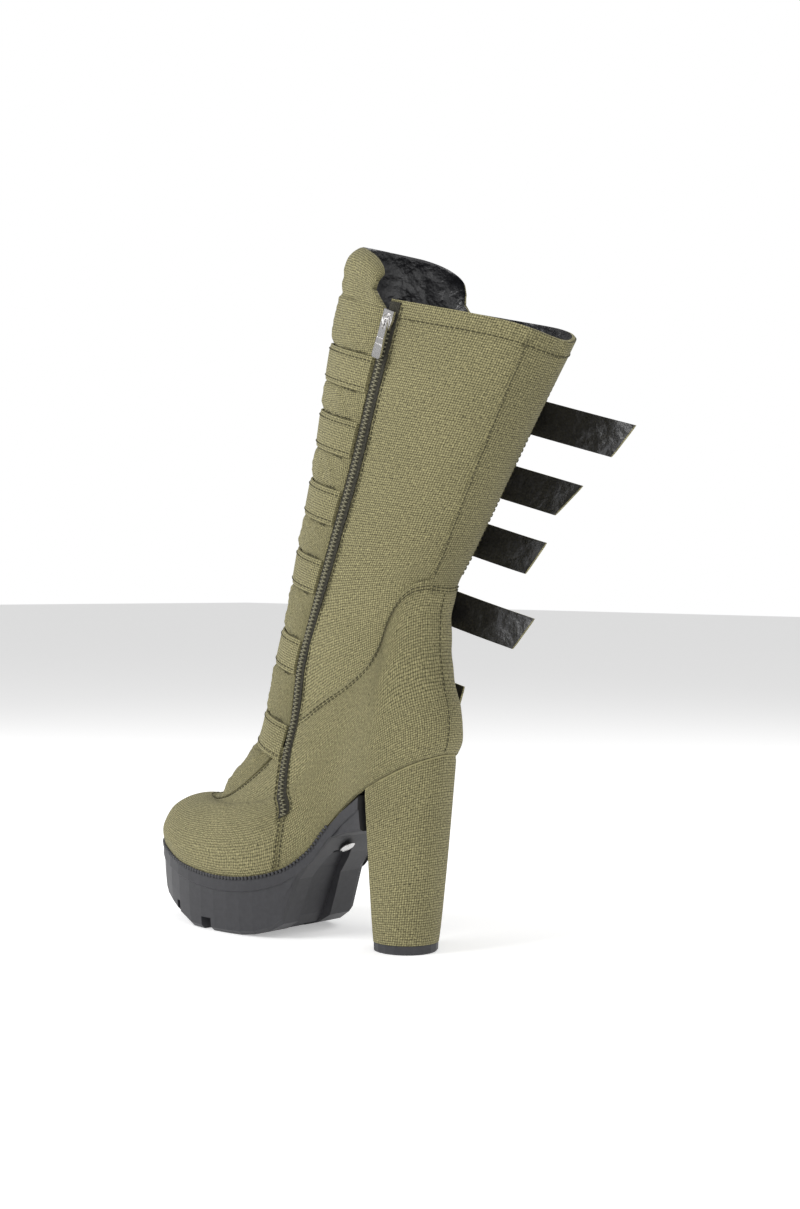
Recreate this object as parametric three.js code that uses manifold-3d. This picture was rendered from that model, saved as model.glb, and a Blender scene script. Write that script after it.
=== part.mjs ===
// Tall canvas platform boot for the right foot, in millimetres, standing on its heel and tread.
// X runs from the heel to the toe, Y to the inner side of the foot, Z up from the floor.
import * as THREE from "three";
import { mergeVertices } from "three/addons/utils/BufferGeometryUtils.js";
import Module from "manifold-3d";

const wasm = await Module();
wasm.setup();

// Sizes of the last and the shaft
const toeReach = 211;
const heelReach = 31;
const heelHeight = 126;
const platformHeight = 37;
const toeSpring = 12;
const toeBox = 43;
const shinRise = 339;
const backRise = 258;
const backFlare = 90;
const ballHalf = 43;
const collarHalf = 46;
const collarDip = 7;

// Sizes of the cloth parts
const wall = 2.0;
const overlayStep = 0.7;
const seamGap = 0.3;
const padValley = 4.2;
const padBulge = 5.0;
const padCrease = 2.6;
const padLining = 3.0;
const tongueRise = 30;
const tongueTaper = .13;
const strapThick = 1.9;
const strapLean = THREE.MathUtils.degToRad(15);
const tailLean = THREE.MathUtils.degToRad(3);
const zipHalf = 3.7;
const zipThick = 1.3;
const insoleThick = 2.6;

// Sizes of the sole unit and the heel
const welt = 2.0;
const weltBand = 8;
const heelFoot = 20.9;
const heelBreast = 14.5;
const heelTipHeight = 5.8;
const lugDepth = 8.5;
const lugSpine = 8;
const lugReach = 27;
const lugRun = toeReach * .38;
const lugBelow = 5;
const screwRadius = 5.4;
const screwRise = 1.3;
const screwPlace = 53;

// Sizes of the zip slider and its pull
const sliderLong = 12;
const sliderWide = 8.6;
const sliderThick = 1.9;
const crownRadius = 3.2;
const crownWire = 0.8;
const pullLong = 24;
const pullWide = 7.2;
const pullThick = 1.4;
const pullBar = 0.65;

const cloth = { color: 0x6f6a4c, roughness: 0.92, metalness: 0 };
const leather = { color: 0x16161a, roughness: 0.5, metalness: 0 };
const rubber = { color: 0x1b1b1e, roughness: 0.62, metalness: 0 };
const tape = { color: 0x3b3a30, roughness: 0.8, metalness: 0 };
const steel = { color: 0xc9c7c2, roughness: 0.28, metalness: 1 };

// Girth rows from the sole edge up. The front columns are shares of toeReach, toeSpring, toeBox and
// shinRise. The back columns are shares of heelReach, backFlare and backRise. The widths are shares
// of the half width, on the inner and then the outer side, at the heel, waist, ball and toe.
const girthRows = [
  { front: .990, spring: 1.30, box: 0, shin: 0, heel: 1.03, flare: 0, back: 0,
    inner: [.663, .570, .920, .767], outer: [.663, .720, 1.000, .767], round: [.40, .42], sag: 1 },
  { front: 1.000, spring: 1.22, box: .235, shin: 0, heel: 1.16, flare: 0, back: .04,
    inner: [.700, .630, .953, .790], outer: [.700, .770, 1.035, .790], round: [.40, .42], sag: 1 },
  { front: .967, spring: .98, box: .60, shin: 0, heel: 1.18, flare: 0, back: .078,
    inner: [.705, .674, .930, .744], outer: [.705, .790, 1.010, .744], round: [.42, .45], sag: .97 },
  { front: .891, spring: .74, box: .865, shin: 0, heel: 1.13, flare: 0, back: .116,
    inner: [.692, .700, .895, .674], outer: [.692, .790, .953, .674], round: [.44, .48], sag: .90 },
  { front: .791, spring: .33, box: 1, shin: 0, heel: 1.03, flare: 0, back: .155,
    inner: [.676, .710, .837, .630], outer: [.676, .780, .884, .640], round: [.46, .50], sag: .80 },
  { front: .668, spring: 0, box: 1, shin: .056, heel: .925, flare: 0, back: .21,
    inner: [.650, .720, .780, .580], outer: [.650, .750, .800, .590], round: [.50, .50], sag: .60 },
  { front: .545, spring: 0, box: 1, shin: .136, heel: .860, flare: 0, back: .267,
    inner: [.612, .725, .740, .555], outer: [.612, .740, .750, .560], round: [.50, .50], sag: .35 },
  { front: .488, spring: 0, box: 1, shin: .260, heel: .860, flare: 0, back: .33,
    inner: [.575, .745, .757, .550], outer: [.575, .745, .757, .550], round: [.50, .50], sag: .15 },
  { front: .422, spring: 0, box: 1, shin: .398, heel: .92, flare: .02, back: .40,
    inner: [.570, .740, .785, .560], outer: [.570, .740, .785, .560], round: [.50, .50], sag: 0 },
  { front: .365, spring: 0, box: 1, shin: .540, heel: .92, flare: .18, back: .50,
    inner: [.595, .785, .842, .605], outer: [.595, .785, .842, .605], round: [.50, .50], sag: 0 },
  { front: .308, spring: 0, box: 1, shin: .678, heel: .92, flare: .405, back: .64,
    inner: [.645, .845, .890, .655], outer: [.645, .845, .890, .655], round: [.50, .50], sag: 0 },
  { front: .263, spring: 0, box: 1, shin: .832, heel: .92, flare: .683, back: .81,
    inner: [.680, .900, .945, .690], outer: [.680, .900, .945, .690], round: [.50, .50], sag: 0 },
  { front: .204, spring: 0, box: 1, shin: 1, heel: .92, flare: 1, back: 1,
    inner: [.696, .935, .990, .728], outer: [.696, .935, .990, .728], round: [.50, .50], sag: 0 },
  { front: .150, spring: 0, box: 1, shin: 1.16, heel: .92, flare: 1.26, back: 1.18,
    inner: [.696, .935, .990, .728], outer: [.696, .935, .990, .728], round: [.50, .50], sag: 0 },
];
const collarRow = girthRows.length - 2;
const widthStations = [.14, .31, .58, .86];

// Sole line: arch is the share of the heel's rise over the platform, spring the share of toeSpring
const soleLine = [
  { along: 0, arch: 1, spring: 0 },
  { along: .06, arch: .925, spring: 0 },
  { along: .15, arch: .785, spring: 0 },
  { along: .24, arch: .62, spring: 0 },
  { along: .31, arch: .455, spring: 0 },
  { along: .38, arch: .23, spring: 0 },
  { along: .46, arch: .085, spring: 0 },
  { along: .56, arch: .018, spring: 0 },
  { along: .66, arch: 0, spring: .02 },
  { along: .80, arch: 0, spring: .30 },
  { along: .92, arch: 0, spring: .93 },
  { along: 1.03, arch: 0, spring: 1.50 },
];

// Zip line on the inner side: level is the share of the shaft, turn the share of the way round
const zipLine = [
  { level: -.05, turn: .2425 },
  { level: 0, turn: .2425 },
  { level: .10, turn: .2400 },
  { level: .22, turn: .2420 },
  { level: .33, turn: .2620 },
  { level: .415, turn: .2840 },
  { level: .50, turn: .3060 },
  { level: .57, turn: .3120 },
  { level: .64, turn: .3040 },
  { level: .71, turn: .2900 },
  { level: .80, turn: .2815 },
  { level: .92, turn: .2750 },
  { level: 1.0, turn: .2740 },
  { level: 1.1, turn: .2740 },
];
const zipFoot = .215;
const zipHead = .997;

// Top edge of the rear quarter: turn from the centre back, level on the shaft
const quarterEdge = [
  { turn: 0, level: .681 },
  { turn: .03, level: .684 },
  { turn: .063, level: .689 },
  { turn: .094, level: .685 },
  { turn: .118, level: .668 },
  { turn: .133, level: .632 },
  { turn: .146, level: .560 },
  { turn: .166, level: .515 },
  { turn: .214, level: .495 },
  { turn: .250, level: .496 },
  { turn: .310, level: .500 },
  { turn: .340, level: .500 },
];

// Half width of the back strip, as the turn from the centre back at each level
const stripEdge = [
  { level: .60, turn: .060 },
  { level: .69, turn: .063 },
  { level: .80, turn: .070 },
  { level: .88, turn: .074 },
  { level: .94, turn: .078 },
  { level: 1.0, turn: .082 },
];

// Straps from the collar down: height is the share of heelHeight above the floor at the origin, lift
// how much higher the strap crosses the front, wide in mm, tail the reach of its upper corner behind
// the origin, cut how far the tip slants, leave the turn where it leaves the shaft
const straps = [
  { height: 2.817, lift: 6.0, wide: 23.2, tail: 143, cut: 17, leave: .735 },
  { height: 2.455, lift: 8.0, wide: 23.4, tail: 106, cut: 21, leave: .735 },
  { height: 2.123, lift: 3.5, wide: 23.4, tail: 80, cut: 15, leave: .735 },
  { height: 1.734, lift: 4.5, wide: 23.4, tail: 73, cut: 15, leave: .735 },
  { height: 1.262, lift: 7.0, wide: 23.6, tail: 19, cut: 8, leave: .81 },
  { height: .810, lift: 5.0, wide: 25.0, tail: 9, cut: 6, leave: .80 },
];

// Underside of the sole unit from the breast to the toe: along from the heel's middle as a share of
// toeReach, rise as a share of platformHeight
const treadLine = [
  { along: .060, rise: 2.08 },
  { along: .142, rise: 1.99 },
  { along: .209, rise: 1.86 },
  { along: .256, rise: 1.70 },
  { along: .289, rise: 1.52 },
  { along: .313, rise: 1.27 },
  { along: .341, rise: .80 },
  { along: .370, rise: .32 },
  { along: .388, rise: .20 },
  { along: .415, rise: .13 },
  { along: .460, rise: .055 },
  { along: .510, rise: .010 },
  { along: .550, rise: 0 },
  { along: .730, rise: 0 },
  { along: .780, rise: .085 },
  { along: .840, rise: .240 },
  { along: .900, rise: .390 },
  { along: .950, rise: .480 },
  { along: 1.02, rise: .570 },
];

// Slots between the lugs: along as a share of toeReach, wide in mm, fan is the slant in degrees
const lugSlots = [
  { along: .655, wide: 9.5, fan: 4 },
  { along: .785, wide: 4.6, fan: 16 },
  { along: .880, wide: 4.6, fan: 34 },
];

// Scoop behind the tread: along and rise place its floor, half its width there
const scoopLine = [
  { along: .270, rise: 1.66, half: 8 },
  { along: .300, rise: 1.50, half: 11 },
  { along: .335, rise: 1.22, half: 13 },
  { along: .370, rise: .78, half: 14 },
  { along: .398, rise: .34, half: 14.5 },
  { along: .425, rise: .14, half: 14.5 },
  { along: .470, rise: .10, half: 13 },
  { along: .500, rise: -.15, half: 12 },
];

// Side of the sole unit from its top edge to the tread: fall is the share of the side's height
const unitSide = [
  { fall: 0, margin: .2, band: 0 },
  { fall: 0, margin: 1, band: .1 },
  { fall: 0, margin: 1.1, band: 1 },
  { fall: 0, margin: .6, band: 1.12 },
  { fall: .60, margin: .35, band: 0 },
  { fall: .93, margin: -.25, band: 0 },
  { fall: 1, margin: -1.7, band: 0 },
];

// Smooth curve through the points of a table
function curve(xs, ys, x) {
  const n = xs.length;
  const slope = [];
  for (let i = 0; i < n - 1; i += 1) slope.push((ys[i + 1] - ys[i]) / (xs[i + 1] - xs[i]));
  const rate = (i) => {
    if (i === 0) return slope[0];
    if (i === n - 1) return slope[n - 2];
    const a = slope[i - 1];
    const b = slope[i];
    if (a * b <= 0) return 0;
    const before = xs[i] - xs[i - 1];
    const after = xs[i + 1] - xs[i];
    return 3 * (before + after) / ((2 * after + before) / a + (after + 2 * before) / b);
  };
  if (x < xs[0]) return ys[0] + (x - xs[0]) * slope[0];
  if (x > xs[n - 1]) return ys[n - 1] + (x - xs[n - 1]) * slope[n - 2];
  let i = 0;
  while (i < n - 2 && x > xs[i + 1]) i += 1;
  const h = xs[i + 1] - xs[i];
  const t = (x - xs[i]) / h;
  const low = (1 + 2 * t) * (1 - t) * (1 - t) * ys[i] + t * (1 - t) * (1 - t) * h * rate(i);
  return low + t * t * (3 - 2 * t) * ys[i + 1] + t * t * (t - 1) * h * rate(i + 1);
}

function reader(table, key, value) {
  const xs = table.map((row) => row[key]);
  const ys = table.map((row) => row[value]);
  return (x) => curve(xs, ys, x);
}

const archAt = reader(soleLine, "along", "arch");
const springAt = reader(soleLine, "along", "spring");
const zipTurn = reader(zipLine, "level", "turn");
const quarterLevel = reader(quarterEdge, "turn", "level");
const stripTurn = reader(stripEdge, "level", "turn");
const treadRise = reader(treadLine, "along", "rise");

function soleTop(x) {
  const along = (x + heelReach) / (toeReach + heelReach);
  const lift = (heelHeight - platformHeight) * archAt(along);
  return platformHeight + lift + toeSpring * springAt(along);
}

const levels = girthRows.map((row, k) => k / collarRow);
const girth = {};
for (const key of ["front", "spring", "box", "shin", "heel", "flare", "back", "sag"]) {
  girth[key] = girthRows.map((row) => row[key]);
}
for (const side of ["inner", "outer", "round"]) {
  girth[side] = girthRows[0][side].map((_, j) => girthRows.map((row) => row[side][j]));
}

const girthCache = new Map();

// Reads one girth at any level between the rows
function girthAt(level) {
  const key = level.toFixed(7);
  if (girthCache.has(key)) return girthCache.get(key);
  const read = (ys) => curve(levels, ys, level);
  const shin = read(girth.shin);
  const half = ballHalf + (collarHalf - ballHalf) * shin;
  const backPow = read(girth.round[0]);
  const frontPow = read(girth.round[1]);
  const swellPow = (s) => backPow * (1 - s) + frontPow * s;
  const widths = {};
  for (const side of ["inner", "outer"]) {
    widths[side] = widthStations.map((s, j) => {
      return half * read(girth[side][j]) / Math.pow(4 * s * (1 - s), swellPow(s));
    });
  }
  const row = {
    frontX: toeReach * read(girth.front),
    frontZ: platformHeight + toeSpring * read(girth.spring) + toeBox * read(girth.box) + shinRise * shin,
    backX: -(heelReach * read(girth.heel) + backFlare * read(girth.flare)),
    backZ: heelHeight + backRise * read(girth.back),
    sag: read(girth.sag),
    swellPow,
    widths,
  };
  girthCache.set(key, row);
  return row;
}

// Width between the four stations
function widthAt(knots, s) {
  const xs = widthStations;
  if (s <= xs[0]) return knots[0];
  if (s >= xs[3]) return knots[3];
  const slope = [0, 1, 2].map((i) => (knots[i + 1] - knots[i]) / (xs[i + 1] - xs[i]));
  const rate = [0, (slope[0] + slope[1]) / 2, (slope[1] + slope[2]) / 2, 0];
  const i = s < xs[1] ? 0 : s < xs[2] ? 1 : 2;
  const h = xs[i + 1] - xs[i];
  const t = (s - xs[i]) / h;
  const low = (1 + 2 * t) * (1 - t) * (1 - t) * knots[i] + t * (1 - t) * (1 - t) * h * rate[i];
  return low + t * t * (3 - 2 * t) * knots[i + 1] + t * t * (t - 1) * h * rate[i + 1];
}

// Outer face of the upper: level 0 is the sole edge and 1 the collar. Turn 0 is the centre back,
// a quarter the inner side, a half the centre front and three quarters the outer side.
function form(level, turn) {
  const row = girthAt(level);
  const s = Math.min(Math.max((1 - Math.cos(2 * Math.PI * turn)) / 2, 1e-9), 1 - 1e-9);
  const near = ((turn % 1) + 1) % 1 < .5;
  const swell = Math.pow(4 * s * (1 - s), row.swellPow(s));
  const width = (near ? 1 : -1) * widthAt(near ? row.widths.inner : row.widths.outer, s) * swell;
  const x = row.backX + (row.frontX - row.backX) * s;
  const backSole = soleTop(row.backX);
  const frontSole = soleTop(row.frontX);
  const arch = (soleTop(x) - frontSole) / (backSole - frontSole);
  const drop = (1 - s) * (1 - row.sag) + arch * row.sag;
  const dip = collarDip * Math.pow(Math.max(level, 0), 10) * Math.pow(1 - s, 14);
  return new THREE.Vector3(x, width, row.frontZ + (row.backZ - row.frontZ) * drop - dip);
}

function outward(level, turn) {
  const e = 1e-3;
  const round = form(level, turn + e).sub(form(level, turn - e));
  const up = form(level + e, turn).sub(form(level - e, turn));
  return up.cross(round).normalize();
}

function offset(level, turn, out) {
  return form(level, turn).addScaledVector(outward(level, turn), out);
}

// Height of a point measured along the leaning shaft
function lean(point) {
  return point.z - point.x * Math.tan(strapLean);
}

// Level where a given turn reaches a given height along the shaft
function levelFor(height, turnOf) {
  let low = .12;
  let high = 1.16;
  for (let i = 0; i < 26; i += 1) {
    const mid = (low + high) / 2;
    if (lean(form(mid, turnOf(mid))) < height) low = mid;
    else high = mid;
  }
  return (low + high) / 2;
}

// Closed body from indexed corners, turned so that its faces look outward
function body(points, faces) {
  let volume = 0;
  for (const [a, b, c] of faces) {
    volume += points[a].dot(points[b].clone().cross(points[c]));
  }
  const position = new Float32Array(points.flatMap((p) => [p.x, p.y, p.z]));
  const index = faces.flatMap(([a, b, c]) => (volume > 0 ? [a, b, c] : [a, c, b]));
  const geometry = new THREE.BufferGeometry();
  geometry.setAttribute("position", new THREE.BufferAttribute(position, 3));
  geometry.setIndex(index);
  return geometry;
}

// Slab between an outer and an inner face, each given as rows of points
function slab(outer, inner, closed) {
  const rows = outer.length;
  const cols = outer[0].length;
  const points = [...outer.flat(), ...inner.flat()];
  const faces = [];
  const at = (face, i, j) => face * rows * cols + i * cols + (j % cols);
  const quad = (a, b, c, d) => faces.push([a, b, c], [a, c, d]);
  const span = closed ? cols : cols - 1;
  for (let i = 0; i < rows - 1; i += 1) {
    for (let j = 0; j < span; j += 1) {
      quad(at(0, i, j), at(0, i, j + 1), at(0, i + 1, j + 1), at(0, i + 1, j));
      quad(at(1, i, j), at(1, i + 1, j), at(1, i + 1, j + 1), at(1, i, j + 1));
    }
  }
  for (let j = 0; j < span; j += 1) {
    quad(at(0, 0, j), at(1, 0, j), at(1, 0, j + 1), at(0, 0, j + 1));
    quad(at(0, rows - 1, j), at(0, rows - 1, j + 1), at(1, rows - 1, j + 1), at(1, rows - 1, j));
  }
  if (!closed) {
    for (let i = 0; i < rows - 1; i += 1) {
      quad(at(0, i, 0), at(0, i + 1, 0), at(1, i + 1, 0), at(1, i, 0));
      quad(at(0, i, cols - 1), at(1, i, cols - 1), at(1, i + 1, cols - 1), at(0, i + 1, cols - 1));
    }
  }
  return body(points, faces);
}

// Body through closed loops of points; loops that mirror across Y are capped by straight strips
function loft(loops, mirrored) {
  const cols = loops[0].length;
  const points = loops.flat();
  const faces = [];
  for (let i = 0; i < loops.length - 1; i += 1) {
    for (let j = 0; j < cols; j += 1) {
      const a = i * cols + j;
      const b = i * cols + (j + 1) % cols;
      faces.push([a, b, b + cols], [a, b + cols, a + cols]);
    }
  }
  const cap = (start, flip) => {
    const add = (a, b, c) => faces.push(flip ? [a, c, b] : [a, b, c]);
    if (mirrored) {
      for (let j = 0; j < Math.ceil(cols / 2) - 1; j += 1) {
        const k = cols - 1 - j;
        add(start + j, start + k, start + k - 1);
        if (j + 1 < k - 1) add(start + j, start + k - 1, start + j + 1);
      }
    } else {
      for (let j = 1; j < cols - 1; j += 1) add(start, start + j + 1, start + j);
    }
  };
  cap(0, false);
  cap((loops.length - 1) * cols, true);
  return body(points, faces);
}

function toSolid(geometry) {
  const plain = new THREE.BufferGeometry();
  plain.setAttribute("position", geometry.getAttribute("position"));
  if (geometry.getIndex()) plain.setIndex(geometry.getIndex());
  const merged = mergeVertices(plain, 1e-4);
  const mesh = new wasm.Mesh({
    numProp: 3,
    vertProperties: new Float32Array(merged.getAttribute("position").array),
    triVerts: new Uint32Array(merged.getIndex().array),
  });
  return new wasm.Manifold(mesh);
}

function toGeometry(solid) {
  const mesh = solid.getMesh();
  const geometry = new THREE.BufferGeometry();
  const step = mesh.numProp;
  const count = mesh.vertProperties.length / step;
  const position = new Float32Array(count * 3);
  for (let i = 0; i < count; i += 1) {
    for (let k = 0; k < 3; k += 1) position[i * 3 + k] = mesh.vertProperties[i * step + k];
  }
  geometry.setAttribute("position", new THREE.BufferAttribute(position, 3));
  geometry.setIndex(Array.from(mesh.triVerts));
  return geometry;
}

// Largest connected body of a solid, without specks or closed pockets
function mainBody(solid) {
  return solid.decompose().reduce((best, next) => (next.volume() > best.volume() ? next : best));
}

const boot = new THREE.Group();
boot.name = "canvas_platform_boot";

function place(name, geometry, finish) {
  geometry.computeVertexNormals();
  const mesh = new THREE.Mesh(geometry, new THREE.MeshStandardMaterial(finish));
  mesh.name = name;
  boot.add(mesh);
}

function spread(count, from, to) {
  return Array.from({ length: count }, (_, i) => from + (to - from) * i / (count - 1));
}

// Patch of the form between two offsets, its corners read from a function of two shares
function patch(rows, cols, locate, low, high) {
  const face = (out) => rows.map((a) => cols.map((b) => {
    const [level, turn] = locate(a, b);
    return offset(level, turn, out);
  }));
  return slab(face(high), face(low), false);
}

// Turns of the columns of the upper and the sole pieces, closest together along the arch
const columnCount = 48;
const columns = Array.from({ length: columnCount }, (_, k) => {
  const turn = k / columnCount;
  return turn + .35 * Math.sin(4 * Math.PI * turn) / (4 * Math.PI);
});

// Turn of the zip's edges, a given distance in front of or behind its middle
function zipSide(level, distance) {
  const turn = zipTurn(level);
  const e = .004;
  const pace = form(level, turn + e).distanceTo(form(level, turn - e)) / (2 * e);
  return turn + distance / pace;
}

// Lowest level of the throat opening at a given turn
function throatLevel(turn) {
  return .325 + 1.5 * Math.pow(Math.abs(turn - .5), 1.5);
}

const throatSide = (level) => zipSide(level, zipHalf + .8);

// Upper: one shell, open at the collar and below, with the throat cut away in front
function makeUpper() {
  const rows = [0, .035, .08, .13, .18, .235, .29, .34, .39, .44, .49, .54, .59, .635, .68, .73, .78,
    .83, .88, .94, 1];
  const face = (out) => rows.map((level) => columns.map((turn) => {
    const point = offset(level, turn, out);
    if (level === 0) point.z = soleTop(point.x);
    return point;
  }));
  let shell = toSolid(slab(face(0), face(-wall), true));

  const share = spread(9, 0, 1);
  const quarterTurns = [0, .03, .063, .094, .118, .133, .146, .166, .19, .214, .232, .25, .27, .29];
  const backTurns = [...quarterTurns.slice(1).map((t) => -t).reverse(), ...quarterTurns];
  const quarterFoot = .006;
  const quarter = patch(share, backTurns, (a, turn) => {
    const size = Math.abs(turn) / quarterTurns[quarterTurns.length - 1];
    let level = quarterFoot + (quarterLevel(Math.abs(turn)) - quarterFoot) * a;
    const edge = zipSide(level, level < zipFoot - .04 ? -.9 : -zipHalf - 1.2);
    const reach = Math.min(1, edge / quarterTurns[quarterTurns.length - 1]);
    level = quarterFoot + (quarterLevel(Math.abs(turn) * reach) - quarterFoot) * a;
    return [level, Math.sign(turn) * size * quarterTurns[quarterTurns.length - 1] * reach];
  }, -wall / 2, overlayStep);
  shell = shell.add(toSolid(quarter));

  const strip = patch(spread(7, .66, .9985), spread(5, -1, 1), (level, b) => {
    return [level, b * stripTurn(level)];
  }, -wall / 2, overlayStep);
  shell = shell.add(toSolid(strip));

  const vampTurns = spread(15, -1, 1);
  const vamp = patch(spread(9, 0, 1), vampTurns, (a, b) => {
    const low = .006;
    const foot = .5 - Math.abs(b) * (.5 - zipSide(low, .9));
    const top = Math.min(.5 - Math.abs(b) * (.5 - .3), .5);
    let turn = foot + (top - foot) * a;
    let level = low + (throatLevel(turn) - low) * a;
    const edge = zipSide(level, level < zipFoot - .04 ? .9 : zipHalf + 2);
    turn = .5 - Math.abs(b) * (.5 - edge);
    level = low + (throatLevel(turn) - low) * a;
    return [level, b < 0 ? 1 - turn : turn];
  }, -wall / 2, overlayStep);
  shell = shell.add(toSolid(vamp));

  const cutter = patch(spread(24, 0, 1), panelShares, (a, b) => {
    const aim = .5 - Math.abs(b) * (.5 - throatSide(.46));
    const low = throatLevel(aim);
    const level = low + (1.05 - low) * Math.pow(a, 1.2);
    const turn = .5 - Math.abs(b) * (.5 - throatSide(level));
    return [level, b < 0 ? 1 - turn : turn];
  }, -wall - 3, 4);
  shell = shell.subtract(toSolid(cutter));
  return toGeometry(mainBody(shell));
}

// Height of the padding over the form: flat under each strap, creased beside it, full between
function padHeight(height) {
  let best = 1e9;
  let half = 1;
  for (const strap of straps) {
    const distance = Math.abs(height - strap.height * heelHeight - strap.lift);
    if (distance - strap.wide / 2 < best) {
      best = distance - strap.wide / 2;
      half = strap.wide / 2;
    }
  }
  if (best < -half * .25) return padValley;
  if (best < 2) return padCrease + (padValley - padCrease) * Math.max(0, -best / (half * .25));
  return padCrease + (padBulge - padCrease) * Math.min(1, (best - 2) / 3.5);
}

function padShare(across) {
  return 1 - Math.pow(Math.abs(across), 5);
}

function panelTurn(level, across) {
  const edge = throatSide(level) + .0075;
  const turn = .5 - Math.abs(across) * (.5 - edge);
  return across < 0 ? 1 - turn : turn;
}

const panelShares = [-1, -.94, -.82, -.64, -.43, -.22, 0, .22, .43, .64, .82, .94, 1];

// Padded panel that fills the throat and stands above the collar
function makePanel() {
  const collarHeight = lean(form(1, .5));
  const top = collarHeight + tongueRise;
  const stops = [];
  for (const strap of straps) {
    const middle = strap.height * heelHeight + strap.lift;
    const half = strap.wide / 2;
    stops.push(middle - half - 5.5, middle - half - 1, middle - half * .7, middle + half * .7,
      middle + half + 1, middle + half + 5.5);
  }
  stops.sort((a, b) => a - b);
  const seamHeight = (across) => {
    const turn = panelTurn(.42, across);
    return lean(form(throatLevel(turn) + .011, turn));
  };
  const first = stops[1];
  const rows = [];
  for (const share of [0, .25, .5, .75]) rows.push({ share });
  for (const height of stops.slice(1)) rows.push({ height });
  rows.push({ height: collarHeight - 6 });
  const crown = [.25, .5, .72, .86, .95, 1];
  const face = (inside) => {
    const grid = rows.map((row, k) => panelShares.map((across) => {
      const seam = seamHeight(across);
      const next = Math.max(first, seam + 2.4);
      let height = seam + (next - seam) * row.share;
      if (row.share === undefined) height = Math.max(row.height, seam + 1.2 * (k - 2));
      const level = levelFor(height, (v) => panelTurn(v, across));
      const turn = panelTurn(level, across);
      let lift = .3 + (padHeight(height) - .3) * padShare(across);
      if (row.share !== undefined) lift = .4 + (lift - .4) * Math.min(1, row.share * 2);
      return offset(level, turn, inside ? -padLining * (.5 + .5 * padShare(across)) : lift);
    }));
    for (const share of crown) {
      grid.push(panelShares.map((across) => {
        const narrow = across * (1 - tongueTaper * Math.min(1, share * 2));
        const corner = Math.max(0, (Math.abs(across) - .6) / .4);
        const drop = tongueRise * .5 * (1 - Math.sqrt(Math.max(0, 1 - corner * corner)));
        const height = collarHeight - 6 + (top - drop - collarHeight + 6) * share;
        const level = levelFor(height, (v) => panelTurn(Math.min(v, 1.04), narrow));
        const turn = panelTurn(Math.min(level, 1.04), narrow);
        const curl = Math.max(0, (share - .72) / .28);
        const thin = .3 + .7 * Math.sqrt(Math.max(0, 1 - curl * curl));
        const edge = .35 + .65 * padShare(across);
        const middle = (padBulge - padLining) / 2;
        const half = (padBulge + padLining) / 2 * thin * edge;
        return offset(level, turn, inside ? middle - half : middle + half);
      }));
    }
    return grid;
  };
  return slab(face(false), face(true), false);
}

// Strap across the panel and round the outer side, its free tail standing back past the shaft
function makeStrap(strap) {
  const middle = strap.height * heelHeight;
  const half = strap.wide / 2;
  const stations = [];
  for (const across of panelShares.slice().reverse()) {
    if (across > .97) continue;
    stations.push({ across });
  }
  const lastPanel = panelTurn(levelFor(middle, (v) => panelTurn(v, -1)), -1);
  const sideTurns = spread(7, lastPanel + .008, strap.leave);
  sideTurns.forEach((turn, k) => stations.push({ turn, lift: strap.lift * (1 - (k + 1) / 7) }));
  const edges = [-1, 1];
  const inner = [];
  const outer = [];
  for (const station of stations) {
    const rowIn = [];
    const rowOut = [];
    for (const side of edges) {
      const turnOf = station.across === undefined
        ? () => station.turn
        : (v) => panelTurn(v, station.across);
      const level = levelFor(middle + (station.lift ?? strap.lift) * 1 + side * half, turnOf);
      const turn = turnOf(level);
      let low = overlayStep + .45;
      if (station.across !== undefined) {
        low = Math.max(.65, .35 + (padValley - .05) * padShare(station.across));
      }
      rowIn.push(offset(level, turn, low));
      rowOut.push(offset(level, turn, low + strapThick));
    }
    inner.push(rowIn);
    outer.push(rowOut);
  }
  const end = inner.length - 1;
  const reach = [0, 1].map((k) => {
    const corner = -strap.tail + (edges[k] < 0 ? strap.cut : 0);
    return inner[end][k].x - corner;
  });
  for (const share of [.35, .7, 1]) {
    const next = (rows, k) => {
      const start = rows[end][k];
      const run = reach[k] * share;
      return new THREE.Vector3(
        start.x - run,
        start.y + (strap.leave < .8 ? run * Math.tan(tailLean) : 0),
        start.z - run * Math.tan(strapLean),
      );
    };
    inner.push([0, 1].map((k) => next(inner, k)));
    outer.push([0, 1].map((k) => next(outer, k)));
  }
  return slab(outer, inner, false);
}

// Zip: two tapes and the closed chain between them, on the inner side
function makeZip() {
  const across = [-1, -.45, 0, .45, 1];
  const rise = [.15, .5, 1, .5, .15];
  const rows = spread(24, zipFoot, zipHead);
  const face = (inside) => rows.map((level) => across.map((b, k) => {
    const high = seamGap + zipThick + rise[k] * .7;
    return offset(level, zipSide(level, b * zipHalf), inside ? seamGap : high);
  }));
  return slab(face(false), face(true), false);
}

// Axes of the slider: origin on the form, side along the seam's width, up the chain, and outward
function sliderFrame() {
  const level = .981;
  const origin = form(level, zipTurn(level));
  const out = outward(level, zipTurn(level));
  const ahead = form(level + .02, zipTurn(level + .02)).sub(form(level - .02, zipTurn(level - .02)));
  const up = ahead.addScaledVector(out, -ahead.dot(out)).normalize();
  const side = up.clone().cross(out).normalize();
  return new THREE.Matrix4().makeBasis(side, up, out).setPosition(origin);
}

const chainTop = seamGap + zipThick + .7;
const plateBase = chainTop + .35;
const plateTop = plateBase + sliderThick;
const pinHeight = plateTop + pullThick / 2 + .3;

function block(wide, long, thick, x, y, z) {
  const geometry = new THREE.BoxGeometry(wide, long, thick);
  geometry.translate(x, y, z);
  return toSolid(geometry);
}

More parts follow.
